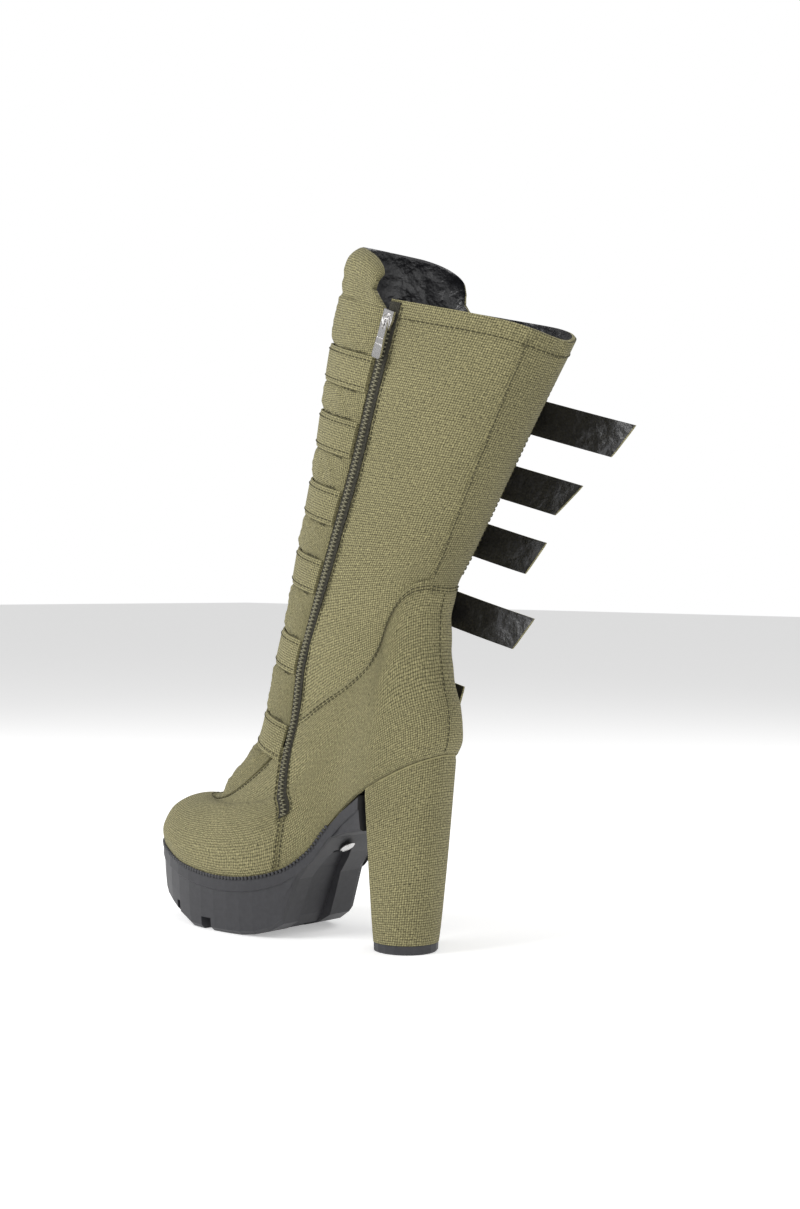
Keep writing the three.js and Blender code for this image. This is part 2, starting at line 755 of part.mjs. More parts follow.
function makeSlider() {
  const outline = new THREE.Shape();
  outline.moveTo(-sliderWide / 2, sliderLong / 2);
  outline.lineTo(-sliderWide / 2, 0);
  outline.lineTo(-sliderWide * .34, -sliderLong / 2);
  outline.lineTo(sliderWide * .34, -sliderLong / 2);
  outline.lineTo(sliderWide / 2, 0);
  outline.lineTo(sliderWide / 2, sliderLong / 2);
  const plate = new THREE.ExtrudeGeometry(outline, { depth: sliderThick, bevelEnabled: false });
  plate.translate(0, 0, plateBase);
  const arch = [];
  const steps = 12;
  for (let i = 0; i <= steps; i += 1) {
    const angle = Math.PI * i / steps;
    const ring = [];
    for (let k = 0; k < 8; k += 1) {
      const turn = Math.PI * 2 * k / 8;
      const radius = crownRadius + crownWire * Math.cos(turn);
      ring.push(new THREE.Vector3(
        crownWire * Math.sin(turn),
        radius * Math.cos(angle),
        plateTop - .3 + radius * Math.sin(angle),
      ));
    }
    arch.push(ring);
  }
  const solid = toSolid(plate).add(toSolid(loft(arch, false)));
  const geometry = toGeometry(solid);
  geometry.applyMatrix4(sliderFrame());
  return geometry;
}

// Pull tab with a slot round the crown, two cross ridges and a flared end
function makePull() {
  const armIn = crownWire + .75;
  const tabTop = pullBar;
  const slotEnd = -(crownRadius + crownWire + 1.6);
  const outline = new THREE.Shape();
  outline.moveTo(-pullWide * .40, tabTop);
  outline.lineTo(-pullWide * .40, -pullLong * .45);
  outline.lineTo(-pullWide * .5, -pullLong * .8);
  outline.lineTo(-pullWide * .5, -pullLong + 1.2);
  outline.lineTo(-pullWide * .36, -pullLong);
  outline.lineTo(pullWide * .36, -pullLong);
  outline.lineTo(pullWide * .5, -pullLong + 1.2);
  outline.lineTo(pullWide * .5, -pullLong * .8);
  outline.lineTo(pullWide * .40, -pullLong * .45);
  outline.lineTo(pullWide * .40, tabTop);
  const slot = new THREE.Path();
  slot.moveTo(-armIn, -pullBar);
  slot.lineTo(armIn, -pullBar);
  slot.lineTo(armIn, slotEnd);
  slot.lineTo(-armIn, slotEnd);
  outline.holes.push(slot);
  const tab = new THREE.ExtrudeGeometry(outline, { depth: pullThick, bevelEnabled: false });
  tab.translate(0, 0, -pullThick / 2);
  let solid = toSolid(tab);
  for (const at of [.50, .66]) {
    solid = solid.add(block(pullWide * .8, 1.1, pullThick + .7, 0, -pullLong * at, .1));
  }
  const geometry = toGeometry(solid);
  geometry.translate(0, 0, pinHeight);
  geometry.applyMatrix4(sliderFrame());
  return geometry;
}

// Turn on the sole edge where it reaches a given distance from the heel's middle
function edgeTurn(x, innerSide) {
  let low = 0;
  let high = .5;
  for (let i = 0; i < 30; i += 1) {
    const mid = (low + high) / 2;
    if (form(0, mid).x < x) low = mid;
    else high = mid;
  }
  return innerSide ? low : 1 - low;
}

// Point on the sole edge moved outward by a margin
function rim(turn, margin) {
  const e = 1e-3;
  const point = form(0, turn);
  const along = form(0, turn + e).sub(form(0, turn - e));
  const length = Math.hypot(along.x, along.y);
  return new THREE.Vector3(point.x - along.y / length * margin, point.y + along.x / length * margin, 0);
}

function makeOutsole() {
  const start = edgeTurn(heelBreast + seamGap + 2, true);
  const turns = [start, ...columns.filter((turn) => turn > start + .008 && turn < .4999), .5];
  const loop = (row) => {
    const inner = turns.map((turn) => rim(turn, welt * row.margin));
    const outer = turns.slice(0, -1).map((turn) => rim(1 - turn, welt * row.margin)).reverse();
    const points = [...inner, ...outer];
    for (const point of points) {
      point.x = Math.max(point.x, heelBreast + seamGap);
      const top = soleTop(point.x) - seamGap - .15;
      const low = Math.min(platformHeight * treadRise(point.x / toeReach), top - 6);
      const bandEnd = Math.min(top - weltBand * row.band, top);
      point.z = bandEnd + (low - bandEnd) * row.fall;
    }
    points[0].x = heelBreast + seamGap;
    points[points.length - 1].x = heelBreast + seamGap;
    return points;
  };
  let unit = toSolid(loft(unitSide.map(loop), true));

  for (const slot of lugSlots) {
    for (const side of [-1, 1]) {
      const x = slot.along * toeReach;
      const end = x + lugReach * Math.tan(THREE.MathUtils.degToRad(slot.fan));
      const low = platformHeight * treadRise(end / toeReach);
      const roof = low + lugDepth;
      const box = new THREE.BoxGeometry(slot.wide, lugRun, roof + lugBelow);
      box.translate(0, side * lugRun / 2, (roof - lugBelow) / 2);
      box.rotateZ(-side * THREE.MathUtils.degToRad(slot.fan));
      box.translate(x, side * lugSpine, 0);
      unit = unit.subtract(toSolid(box));
    }
  }
  const scoop = scoopLine.map((row) => {
    const x = row.along * toeReach;
    const z = row.rise * platformHeight;
    const depth = 30;
    return [
      new THREE.Vector3(x, row.half, z),
      new THREE.Vector3(x, -row.half, z),
      new THREE.Vector3(x - depth, -row.half - 6, z - depth),
      new THREE.Vector3(x - depth, row.half + 6, z - depth),
    ];
  });
  unit = unit.subtract(toSolid(loft(scoop, false)));
  return toGeometry(unit);
}

// Loop of the heel block: blends the foot's round section into the sole edge as it rises
function heelLoop(rise, margin) {
  const start = edgeTurn(heelBreast - 5, true);
  const turns = spread(15, -1, 1);
  const loop = turns.map((b) => {
    const top = rim(b < 0 ? 1 + b * start : b * start, .5 + margin);
    const angle = Math.PI - b * THREE.MathUtils.degToRad(122);
    const foot = new THREE.Vector3(
      .6 + (heelFoot + margin) * Math.cos(angle),
      (heelFoot + margin) * Math.sin(angle),
      0,
    );
    const blend = Math.pow(rise, .85);
    return foot.lerp(top, blend);
  });
  const corner = (near) => {
    const y = near.y * .80;
    return new THREE.Vector3(heelBreast + margin, y, 0);
  };
  const all = [corner(loop[0]), ...loop, corner(loop[loop.length - 1])];
  for (const point of all) {
    point.x = Math.min(point.x, heelBreast + margin);
    const high = soleTop(point.x) - seamGap - .15;
    const low = heelTipHeight + seamGap;
    point.z = low + (high - low) * rise;
  }
  return all;
}

function makeHeel() {
  return loft([0, .12, .3, .5, .7, .88, 1].map((rise) => heelLoop(rise, 0)), true);
}

function makeHeelTip() {
  const loopAt = (z, margin) => heelLoop(0, margin).map((p) => new THREE.Vector3(p.x, p.y, z));
  return loft([loopAt(0, -.9), loopAt(1, 0), loopAt(heelTipHeight, .2)], true);
}

// Insole board inside the upper
function makeInsole() {
  const turns = [.012, ...columns.filter((turn) => turn > .02 && turn < .4999), .5];
  const loop = (lift, margin) => {
    const inner = turns.map((turn) => rim(turn, margin));
    const outer = turns.slice(0, -1).map((turn) => rim(1 - turn, margin)).reverse();
    return [...inner, ...outer].map((point) => {
      point.z = soleTop(point.x) + lift;
      return point;
    });
  };
  return loft([loop(.3, -wall - 1.4), loop(insoleThick, -wall - 1.2)], true);
}

// Round screw head under the arch
function makeScrew(unit) {
  const at = screwPlace / toeReach;
  const e = .01;
  const slope = (treadRise(at + e) - treadRise(at - e)) * platformHeight / (2 * e * toeReach);
  const down = new THREE.Vector3(slope, 0, -1).normalize();
  const profile = [
    new THREE.Vector2(0, 0),
    new THREE.Vector2(screwRadius, 0),
    new THREE.Vector2(screwRadius, screwRise * .45),
    new THREE.Vector2(screwRadius * .8, screwRise * .9),
    new THREE.Vector2(screwRadius * .35, screwRise),
    new THREE.Vector2(0, screwRise),
  ];
  const geometry = new THREE.LatheGeometry(profile, 20);
  const turn = new THREE.Quaternion().setFromUnitVectors(new THREE.Vector3(0, 1, 0), down);
  geometry.applyQuaternion(turn);
  const start = new THREE.Vector3(screwPlace, 0, treadRise(at) * platformHeight);
  start.addScaledVector(down, 40);
  const target = new THREE.Mesh(unit, new THREE.MeshBasicMaterial({ side: THREE.DoubleSide }));
  let reach = 40;
  for (const turn of spread(9, 0, 2 * Math.PI)) {
    const from = start.clone();
    from.y += screwRadius * Math.sin(turn);
    from.x += screwRadius * Math.cos(turn) * Math.abs(down.z);
    from.z += screwRadius * Math.cos(turn) * down.x;
    const hit = new THREE.Raycaster(from, down.clone().negate()).intersectObject(target)[0];
    if (hit) reach = Math.min(reach, hit.distance);
  }
  const seat = start.addScaledVector(down, -reach + seamGap);
  geometry.translate(seat.x, seat.y, seat.z);
  return toGeometry(toSolid(geometry));
}

place("upper", makeUpper(), cloth);
place("front_panel", makePanel(), cloth);
const outsole = makeOutsole();
place("outsole", outsole, rubber);
place("heel", makeHeel(), cloth);
place("heel_tip", makeHeelTip(), rubber);
place("insole", makeInsole(), leather);
place("shank_screw", makeScrew(outsole), steel);
place("zip_tape", makeZip(), tape);
place("zip_slider", makeSlider(), steel);
place("zip_pull", makePull(), steel);
straps.forEach((strap, i) => place(`strap_${i + 1}`, makeStrap(strap), cloth));

export default boot;
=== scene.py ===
import math

import bpy
import numpy as np
from mathutils import Matrix, Vector


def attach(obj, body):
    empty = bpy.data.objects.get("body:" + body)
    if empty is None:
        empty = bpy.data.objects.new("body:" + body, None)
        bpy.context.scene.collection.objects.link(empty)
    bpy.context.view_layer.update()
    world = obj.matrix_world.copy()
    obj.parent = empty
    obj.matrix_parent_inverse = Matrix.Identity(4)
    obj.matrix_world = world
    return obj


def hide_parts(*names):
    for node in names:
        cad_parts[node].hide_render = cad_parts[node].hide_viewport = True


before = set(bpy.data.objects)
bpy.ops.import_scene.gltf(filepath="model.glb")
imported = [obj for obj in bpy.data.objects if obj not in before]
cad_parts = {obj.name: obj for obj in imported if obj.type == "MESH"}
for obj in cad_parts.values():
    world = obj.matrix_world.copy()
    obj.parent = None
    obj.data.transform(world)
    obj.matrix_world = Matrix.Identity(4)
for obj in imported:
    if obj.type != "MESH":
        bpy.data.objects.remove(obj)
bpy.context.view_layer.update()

bl_info = {
    "name": "Canvas platform boot",
    "version": (1, 0, 0),
    "blender": (4, 5, 0),
    "location": "View3D > Sidebar > Boot",
    "description": "Builds the look of a tall canvas platform boot round its packed solids",
    "category": "Object",
}

MM = 0.001

# Girth rows from the sole edge up: front, spring, box, shin, heel, flare, back as shares of the sizes;
# four inner widths, four outer widths, two roundness powers, sag
GIRTHS = np.array([
    [.990, 1.30, 0, 0, 1.03, 0, 0, .663, .570, .920, .767, .663, .720, 1.000, .767, .40, .42, 1],
    [1.000, 1.22, .235, 0, 1.16, 0, .04, .700, .630, .953, .790, .700, .770, 1.035, .790, .40, .42, 1],
    [.967, .98, .60, 0, 1.18, 0, .078, .705, .674, .930, .744, .705, .790, 1.010, .744, .42, .45, .97],
    [.891, .74, .865, 0, 1.13, 0, .116, .692, .700, .895, .674, .692, .790, .953, .674, .44, .48, .90],
    [.791, .33, 1, 0, 1.03, 0, .155, .676, .710, .837, .630, .676, .780, .884, .640, .46, .50, .80],
    [.668, 0, 1, .056, .925, 0, .21, .650, .720, .780, .580, .650, .750, .800, .590, .50, .50, .60],
    [.545, 0, 1, .136, .860, 0, .267, .612, .725, .740, .555, .612, .740, .750, .560, .50, .50, .35],
    [.488, 0, 1, .260, .860, 0, .33, .575, .745, .757, .550, .575, .745, .757, .550, .50, .50, .15],
    [.422, 0, 1, .398, .92, .02, .40, .570, .740, .785, .560, .570, .740, .785, .560, .50, .50, 0],
    [.365, 0, 1, .540, .92, .18, .50, .595, .785, .842, .605, .595, .785, .842, .605, .50, .50, 0],
    [.308, 0, 1, .678, .92, .405, .64, .645, .845, .890, .655, .645, .845, .890, .655, .50, .50, 0],
    [.263, 0, 1, .832, .92, .683, .81, .680, .900, .945, .690, .680, .900, .945, .690, .50, .50, 0],
    [.204, 0, 1, 1, .92, 1, 1, .696, .935, .990, .728, .696, .935, .990, .728, .50, .50, 0],
    [.150, 0, 1, 1.16, .92, 1.26, 1.18, .696, .935, .990, .728, .696, .935, .990, .728, .50, .50, 0],
])
LEVELS = np.arange(len(GIRTHS)) / (len(GIRTHS) - 2)
STATIONS = [.14, .31, .58, .86]
TOE = 211.
HEEL = 31.
HEEL_HEIGHT = 126.
PLATFORM = 37.
SPRING = 12.
FRONT_RISE = 339.
BACK_RISE = 258.
TOE_BOX = 43.
BACK_FLARE = 90.
HALF_WIDTH = 43.
CALF_EXTRA = 3.
SEAT_DIP = 7.
SOLE = np.array([
    [0, 1, 0], [.06, .925, 0], [.15, .785, 0], [.24, .62, 0], [.31, .455, 0], [.38, .23, 0],
    [.46, .085, 0], [.56, .018, 0], [.66, 0, .02], [.80, 0, .30], [.92, 0, .93], [1.03, 0, 1.5],
])
ZIP = np.array([
    [-.05, .2425], [0, .2425], [.10, .24], [.22, .242], [.33, .262], [.415, .284], [.50, .306],
    [.57, .312], [.64, .304], [.71, .29], [.80, .2815], [.92, .275], [1, .274], [1.1, .274],
])
QUARTER = np.array([
    [0, .681], [.03, .684], [.063, .689], [.094, .685], [.118, .668], [.133, .632], [.146, .56],
    [.166, .515], [.214, .495], [.25, .496], [.31, .50], [.34, .50],
])
STRIP = np.array([[.60, .06], [.69, .063], [.80, .07], [.88, .074], [.94, .078], [1, .082]])
# Straps: height, lift at the front, width, tail, cut, leaving turn
STRAPS = [
    (354.9, 6.0, 23.2, 143, 17, .735), (309.3, 8.0, 23.4, 106, 21, .735),
    (267.5, 3.5, 23.4, 80, 15, .735), (218.5, 4.5, 23.4, 73, 15, .735),
    (159.0, 7.0, 23.6, 19, 8, .81), (102.1, 5.0, 25.0, 9, 6, .80),
]
ZIP_HALF = 3.7
ZIP_FOOT = .215
LEAN = math.radians(15)
WALL = 2
HEEL_BREAST = 14.5
HEEL_FOOT = 20.9
HEEL_FOOT_MIDDLE = .6
HEEL_FOOT_SPREAD = math.radians(122)
HEEL_TIP_TOP = 6.1
WELT_PITCH = 2.9
TOOTH_PITCH = 1.35
FLOOR_HALF = 9000
# Camera: turn round the boot, pitch, roll, then distance, shift and height in millimetres
VIEW_TURN = math.radians(40)
VIEW_PITCH = math.radians(1.0)
VIEW_ROLL = math.radians(.6)
VIEW_BACK = 1225
VIEW_SHIFT = 3.8
VIEW_HEIGHT = 219
FOCAL_PIXELS = 1930
IMAGE_HEIGHT = 1209
SENSOR = 36


def curve(xs, ys, x):
    """Smooth curve through the points of a table, straight beyond its ends."""
    x = np.asarray(x, float)
    h = np.diff(xs)
    d = np.diff(ys) / h
    m = np.zeros(len(xs))
    m[0], m[-1] = d[0], d[-1]
    for i in range(1, len(xs) - 1):
        if d[i - 1] * d[i] > 0:
            m[i] = 3 * (h[i - 1] + h[i]) / ((2 * h[i] + h[i - 1]) / d[i - 1] + (h[i] + 2 * h[i - 1]) / d[i])
    i = np.clip(np.searchsorted(xs, x, side="right") - 1, 0, len(xs) - 2)
    t = (x - xs[i]) / h[i]
    y = (1 + 2 * t) * (1 - t) ** 2 * ys[i] + t * (1 - t) ** 2 * h[i] * m[i]
    y = y + t * t * (3 - 2 * t) * ys[i + 1] + t * t * (t - 1) * h[i] * m[i + 1]
    y = np.where(x < xs[0], ys[0] + (x - xs[0]) * d[0], y)
    return np.where(x > xs[-1], ys[-1] + (x - xs[-1]) * d[-1], y)


def sole_top(x):
    along = (np.asarray(x, float) + HEEL) / (TOE + HEEL)
    lift = (HEEL_HEIGHT - PLATFORM) * curve(SOLE[:, 0], SOLE[:, 1], along)
    return PLATFORM + lift + SPRING * curve(SOLE[:, 0], SOLE[:, 2], along)


def form(level, turn):
    """Outer face of the upper in millimetres, as in the packed solids."""
    level, turn = np.broadcast_arrays(np.asarray(level, float), np.asarray(turn, float))
    row = [curve(LEVELS, GIRTHS[:, k], level) for k in range(GIRTHS.shape[1])]
    s = np.clip((1 - np.cos(2 * np.pi * turn)) / 2, 1e-9, 1 - 1e-9)
    front_x, back_x = TOE * row[0], -(HEEL * row[4] + BACK_FLARE * row[5])
    front_z = PLATFORM + SPRING * row[1] + TOE_BOX * row[2] + FRONT_RISE * row[3]
    back_z = HEEL_HEIGHT + BACK_RISE * row[6]
    half = HALF_WIDTH + CALF_EXTRA * row[3]

    def width(first):
        knots = [row[first + j] / (4 * q * (1 - q)) ** (row[15] * (1 - q) + row[16] * q)
                 for j, q in enumerate(STATIONS)]
        slope = [(knots[i + 1] - knots[i]) / (STATIONS[i + 1] - STATIONS[i]) for i in range(3)]
        rate = [slope[0] * 0, (slope[0] + slope[1]) / 2, (slope[1] + slope[2]) / 2, slope[2] * 0]
        out = np.where(s <= STATIONS[0], knots[0], knots[3])
        for i in range(3):
            h = STATIONS[i + 1] - STATIONS[i]
            t = (s - STATIONS[i]) / h
            y = (1 + 2 * t) * (1 - t) ** 2 * knots[i] + t * (1 - t) ** 2 * h * rate[i]
            y = y + t * t * (3 - 2 * t) * knots[i + 1] + t * t * (t - 1) * h * rate[i + 1]
            out = np.where((s > STATIONS[i]) & (s <= STATIONS[i + 1]), y, out)
        return out

    swell = (4 * s * (1 - s)) ** (row[15] * (1 - s) + row[16] * s)
    near = (turn % 1) < .5
    y = np.where(near, width(7), -width(11)) * swell * half
    x = back_x + (front_x - back_x) * s
    zb, zf = sole_top(back_x), sole_top(front_x)
    arch = (sole_top(x) - zf) / (zb - zf)
    drop = (1 - s) * (1 - row[17]) + arch * row[17]
    dip = SEAT_DIP * np.maximum(level, 0) ** 10 * (1 - s) ** 14
    return np.stack([x, y, front_z + (back_z - front_z) * drop - dip], -1)


def outward(level, turn):
    e = 1e-3
    rising = form(level + e, turn) - form(level - e, turn)
    turning = form(level, turn + e) - form(level, turn - e)
    n = np.cross(rising, turning)
    return n / (np.linalg.norm(n, axis=-1, keepdims=True) + 1e-12)


def lifted(level, turn, out):
    return form(level, turn) + outward(level, turn) * np.asarray(out)[..., None]


def zip_turn(level):
    return curve(ZIP[:, 0], ZIP[:, 1], level)


def zip_side(level, distance):
    turn = zip_turn(level)
    pace = np.linalg.norm(form(level, turn + .004) - form(level, turn - .004), axis=-1) / .008
    return turn + distance / pace


def throat_level(turn):
    return .325 + 1.5 * np.abs(np.asarray(turn) - .5) ** 1.5


def throat_side(level):
    return zip_side(level, ZIP_HALF + .8)


def lean(p):
    return p[..., 2] - p[..., 0] * math.tan(LEAN)


def level_for(height, turn_of):
    """Levels where the given turns reach the given heights along the leaning shaft."""
    height = np.asarray(height, float)
    low, high = np.full(height.shape, .12), np.full(height.shape, 1.16)
    for _ in range(24):
        mid = (low + high) / 2
        under = lean(form(mid, turn_of(mid))) < height
        low, high = np.where(under, mid, low), np.where(under, high, mid)
    return (low + high) / 2


def panel_turn(level, across):
    turn = .5 - np.abs(across) * (.5 - throat_side(level) - .0035)
    return np.where(np.asarray(across) < 0, 1 - turn, turn)


def noise(p, scale, seed=0):
    """Smooth, repeatable variation between -1 and 1 over points."""
    rng = np.random.default_rng(seed)
    total = np.zeros(p.shape[:-1])
    for k in range(7):
        d = rng.normal(size=3)
        d /= np.linalg.norm(d)
        total = total + np.sin(p @ d * 2 * np.pi / scale * (1 + .35 * k) + rng.uniform(0, 6.28)) / 3.2
    return np.clip(total, -1, 1)


def arc_uv(points, centre):
    """Distances along the columns and rows of a grid, in metres, from one centre column."""
    du = np.linalg.norm(np.diff(points, axis=1), axis=-1)
    u = np.concatenate([np.zeros((points.shape[0], 1)), np.cumsum(du, 1)], 1)
    u = u - u[:, centre:centre + 1]
    dv = np.linalg.norm(np.diff(points, axis=0), axis=-1).mean(1)
    v = np.concatenate([[0], np.cumsum(dv)])[:, None] + np.zeros_like(u)
    return np.stack([u, v], -1) * MM


def new_object(name, verts, faces, mats, face_mat=None, uvs=None):
    mesh = bpy.data.meshes.new(name)
    mesh.from_pydata([tuple(v) for v in np.asarray(verts) * MM], [], [tuple(map(int, f)) for f in faces])
    for m in mats:
        mesh.materials.append(m)
    if face_mat is not None:
        mesh.polygons.foreach_set("material_index", face_mat)
    if uvs is not None:
        layer = mesh.uv_layers.new(name="UVMap")
        index = np.empty(len(mesh.loops), int)
        mesh.loops.foreach_get("vertex_index", index)
        layer.data.foreach_set("uv", np.asarray(uvs)[index].astype("f").ravel())
    mesh.polygons.foreach_set("use_smooth", [True] * len(mesh.polygons))
    mesh.update()
    obj = bpy.data.objects.new(name, mesh)
    bpy.context.scene.collection.objects.link(obj)
    return obj


def slab(name, outer, inner, mats, uv):
    """Closed sheet between an outer and an inner grid of points; the inner face takes the last material."""
    rows, cols = outer.shape[:2]
    verts = np.concatenate([outer.reshape(-1, 3), inner.reshape(-1, 3)])
    i, j = np.meshgrid(np.arange(rows - 1), np.arange(cols - 1), indexing="ij")

    def at(face, i, j):
        return face * rows * cols + i * cols + j

    def quads(face):
        corners = [at(face, i, j), at(face, i, j + 1), at(face, i + 1, j + 1), at(face, i + 1, j)]
        return np.stack(corners, -1).reshape(-1, 4)

    top = quads(0)
    under = quads(1)[:, ::-1]
    ring = [(0, k) for k in range(cols)] + [(k, cols - 1) for k in range(1, rows)]
    ring += [(rows - 1, k) for k in range(cols - 2, -1, -1)] + [(k, 0) for k in range(rows - 2, 0, -1)]
    edge = []
    for a, b in zip(ring, ring[1:] + ring[:1]):
        edge.append([at(0, *b), at(0, *a), at(1, *a), at(1, *b)])
    faces = np.concatenate([top, under, np.array(edge)])
    area = np.cross(outer[1, 0] - outer[0, 0], outer[0, 1] - outer[0, 0])
    if np.dot(area, outer[0, 0] - inner[0, 0]) > 0:
        faces = faces[:, ::-1]
    mat = np.concatenate([np.zeros(len(top)), np.full(len(under), len(mats) - 1), np.zeros(len(edge))])
    obj = new_object(name, verts, faces, mats, mat.astype(int), np.tile(uv.reshape(-1, 2), (2, 1)))
    obj.data.set_sharp_from_angle(angle=math.radians(50))
    return obj


def boxes(name, centres, axes, sizes, mats, taper=1.0):
    """Many small rounded blocks in one object: centre, three axes and three half sizes each."""
    c = np.asarray(centres)
    verts, faces = [], []
    corner = np.array([[x, y, z] for z in (-1, 1) for y in (-1, 1) for x in (-1, 1)], float)
    quads = [(0, 2, 3, 1), (4, 5, 7, 6), (0, 1, 5, 4), (2, 6, 7, 3), (0, 4, 6, 2), (1, 3, 7, 5)]
    for k in range(len(c)):
        scaled = corner * np.asarray(sizes[k])
        scaled[4:, :2] *= taper
        verts.append(c[k] + scaled @ np.asarray(axes[k]))
        faces += [[8 * k + q for q in f] for f in quads]
    return new_object(name, np.concatenate(verts), faces, mats)


def stitches(name, path, normal, mats, pitch=3.4, long=2.3, half=.34):
    """A row of thread stitches that lies along a path of points."""
    path, normal = np.asarray(path), np.asarray(normal)
    run = np.concatenate([[0], np.cumsum(np.linalg.norm(np.diff(path, axis=0), axis=1))])
    n = max(2, int(run[-1] / pitch))
    centres, axes, sizes = [], [], []
    for k in range(n):
        d = (k + .5) * run[-1] / n
        p = np.array([np.interp(d, run, path[:, a]) for a in range(3)])
        q = np.array([np.interp(min(d + .5, run[-1]), run, path[:, a]) for a in range(3)])
        w = np.array([np.interp(max(d - .5, 0), run, path[:, a]) for a in range(3)])
        nn = np.array([np.interp(d, run, normal[:, a]) for a in range(3)])
        t = (q - w) / (np.linalg.norm(q - w) + 1e-9)
        nn = nn - t * np.dot(nn, t)
        nn /= np.linalg.norm(nn)
        centres.append(p)
        axes.append([t, np.cross(nn, t), nn])
        sizes.append([long / 2, half, half * .8])
    return boxes(name, centres, axes, sizes, mats, .75)


# Node groups and materials

def group(name, inputs, outputs):
    tree = bpy.data.node_groups.new(name, "ShaderNodeTree")
    for n, kind, default in inputs:
        s = tree.interface.new_socket(n, in_out="INPUT", socket_type=kind)
        if default is not None:
            s.default_value = default
    for n, kind in outputs:
        tree.interface.new_socket(n, in_out="OUTPUT", socket_type=kind)
    return tree, tree.nodes.new("NodeGroupInput"), tree.nodes.new("NodeGroupOutput")


def maths(tree, kind, a, b=None, c=None):
    n = tree.nodes.new("ShaderNodeMath")
    n.operation = kind
    for k, v in enumerate((a, b, c)):
        if v is None:
            continue
        if isinstance(v, (int, float)):
            n.inputs[k].default_value = v
        else:
            tree.links.new(v, n.inputs[k])
    return n.outputs[0]


def weave_group():
    """Plain weave: thread height, dark gaps and slub variation from a flat coordinate in metres."""
    tree, gi, go = group("Canvas weave", [
        ("Place", "NodeSocketVector", None),
        ("Pitch", "NodeSocketFloat", .0015),
        ("Slub", "NodeSocketFloat", .5),
    ], [("Height", "NodeSocketFloat"), ("Gap", "NodeSocketFloat"), ("Shade", "NodeSocketFloat")])
    wob = tree.nodes.new("ShaderNodeTexNoise")
    wob.inputs["Scale"].default_value = 160
    wob.inputs["Detail"].default_value = 2
    tree.links.new(gi.outputs["Place"], wob.inputs["Vector"])
    jitter = tree.nodes.new("ShaderNodeVectorMath")
    jitter.operation = "MULTIPLY_ADD"
    jitter.inputs[1].default_value = (.0011, .0011, 0)
    tree.links.new(wob.outputs["Color"], jitter.inputs[0])
    tree.links.new(gi.outputs["Place"], jitter.inputs[2])
    sep = tree.nodes.new("ShaderNodeSeparateXYZ")
    tree.links.new(jitter.outputs[0], sep.inputs[0])
    u = maths(tree, "DIVIDE", sep.outputs[0], gi.outputs["Pitch"])
    v = maths(tree, "DIVIDE", sep.outputs[1], gi.outputs["Pitch"])
    su = maths(tree, "ABSOLUTE", maths(tree, "SINE", maths(tree, "MULTIPLY", u, math.pi)))
    sv = maths(tree, "ABSOLUTE", maths(tree, "SINE", maths(tree, "MULTIPLY", v, math.pi)))
    par = maths(tree, "ADD", maths(tree, "FLOOR", u), maths(tree, "FLOOR", v))
    odd = maths(tree, "PINGPONG", par, 1.0)

    def thread(across, along):
        swell = maths(tree, "ADD", maths(tree, "MULTIPLY", along, .6), .4)
        return maths(tree, "MULTIPLY", maths(tree, "POWER", across, .6), swell)

    warp = thread(su, sv)
    weft = thread(sv, su)
    mix = tree.nodes.new("ShaderNodeMix")
    tree.links.new(odd, mix.inputs[0])
    tree.links.new(warp, mix.inputs[2])
    tree.links.new(weft, mix.inputs[3])
    height = mix.outputs[0]
    # Gap: mask where the dark colour is painted as shade between the threads
    cover = maths(tree, "SMOOTH_MIN", maths(tree, "MULTIPLY", height, 1.3), 1.0, .2)
    gap = maths(tree, "SUBTRACT", 1.0, cover)
    slub = tree.nodes.new("ShaderNodeTexNoise")
    slub.inputs["Scale"].default_value = 900
    slub.inputs["Detail"].default_value = 3
    tree.links.new(gi.outputs["Place"], slub.inputs["Vector"])
    shade = maths(tree, "MULTIPLY", maths(tree, "SUBTRACT", slub.outputs[0], .5), gi.outputs["Slub"])
    tree.links.new(height, go.inputs["Height"])
    tree.links.new(gap, go.inputs["Gap"])
    tree.links.new(shade, go.inputs["Shade"])
    return tree


def wear_group():
    """Large soft patches and fine dust, as masks from object coordinates."""
    tree, gi, go = group("Wear and dust", [
        ("Place", "NodeSocketVector", None),
        ("Size", "NodeSocketFloat", 18.0),
    ], [("Patches", "NodeSocketFloat"), ("Dust", "NodeSocketFloat")])
    for out, factor, detail in (("Patches", 1.0, 3), ("Dust", 14.0, 6)):
        n = tree.nodes.new("ShaderNodeTexNoise")
        n.inputs["Detail"].default_value = detail
        tree.links.new(gi.outputs["Place"], n.inputs["Vector"])
        tree.links.new(maths(tree, "MULTIPLY", gi.outputs["Size"], factor), n.inputs["Scale"])
        tree.links.new(n.outputs[0], go.inputs[out])
    return tree


def grain_group():
    """Imitation leather grain: small cells and pinholes as a height."""
    tree, gi, go = group("Leather grain", [
        ("Place", "NodeSocketVector", None),
        ("Scale", "NodeSocketFloat", 900.0),
    ], [("Height", "NodeSocketFloat"), ("Fleck", "NodeSocketFloat")])
    n = tree.nodes.new("ShaderNodeTexVoronoi")
    n.feature = "DISTANCE_TO_EDGE"
    tree.links.new(gi.outputs["Place"], n.inputs["Vector"])
    tree.links.new(gi.outputs["Scale"], n.inputs["Scale"])
    m = tree.nodes.new("ShaderNodeTexNoise")
    m.inputs["Detail"].default_value = 4
    tree.links.new(gi.outputs["Place"], m.inputs["Vector"])
    tree.links.new(gi.outputs["Scale"], m.inputs["Scale"])
    cells = maths(tree, "SMOOTH_MIN", n.outputs[0], .25, .1)
    tree.links.new(maths(tree, "ADD", cells, m.outputs[0]), go.inputs["Height"])
    tree.links.new(maths(tree, "POWER", m.outputs[0], 7.0), go.inputs["Fleck"])
    return tree


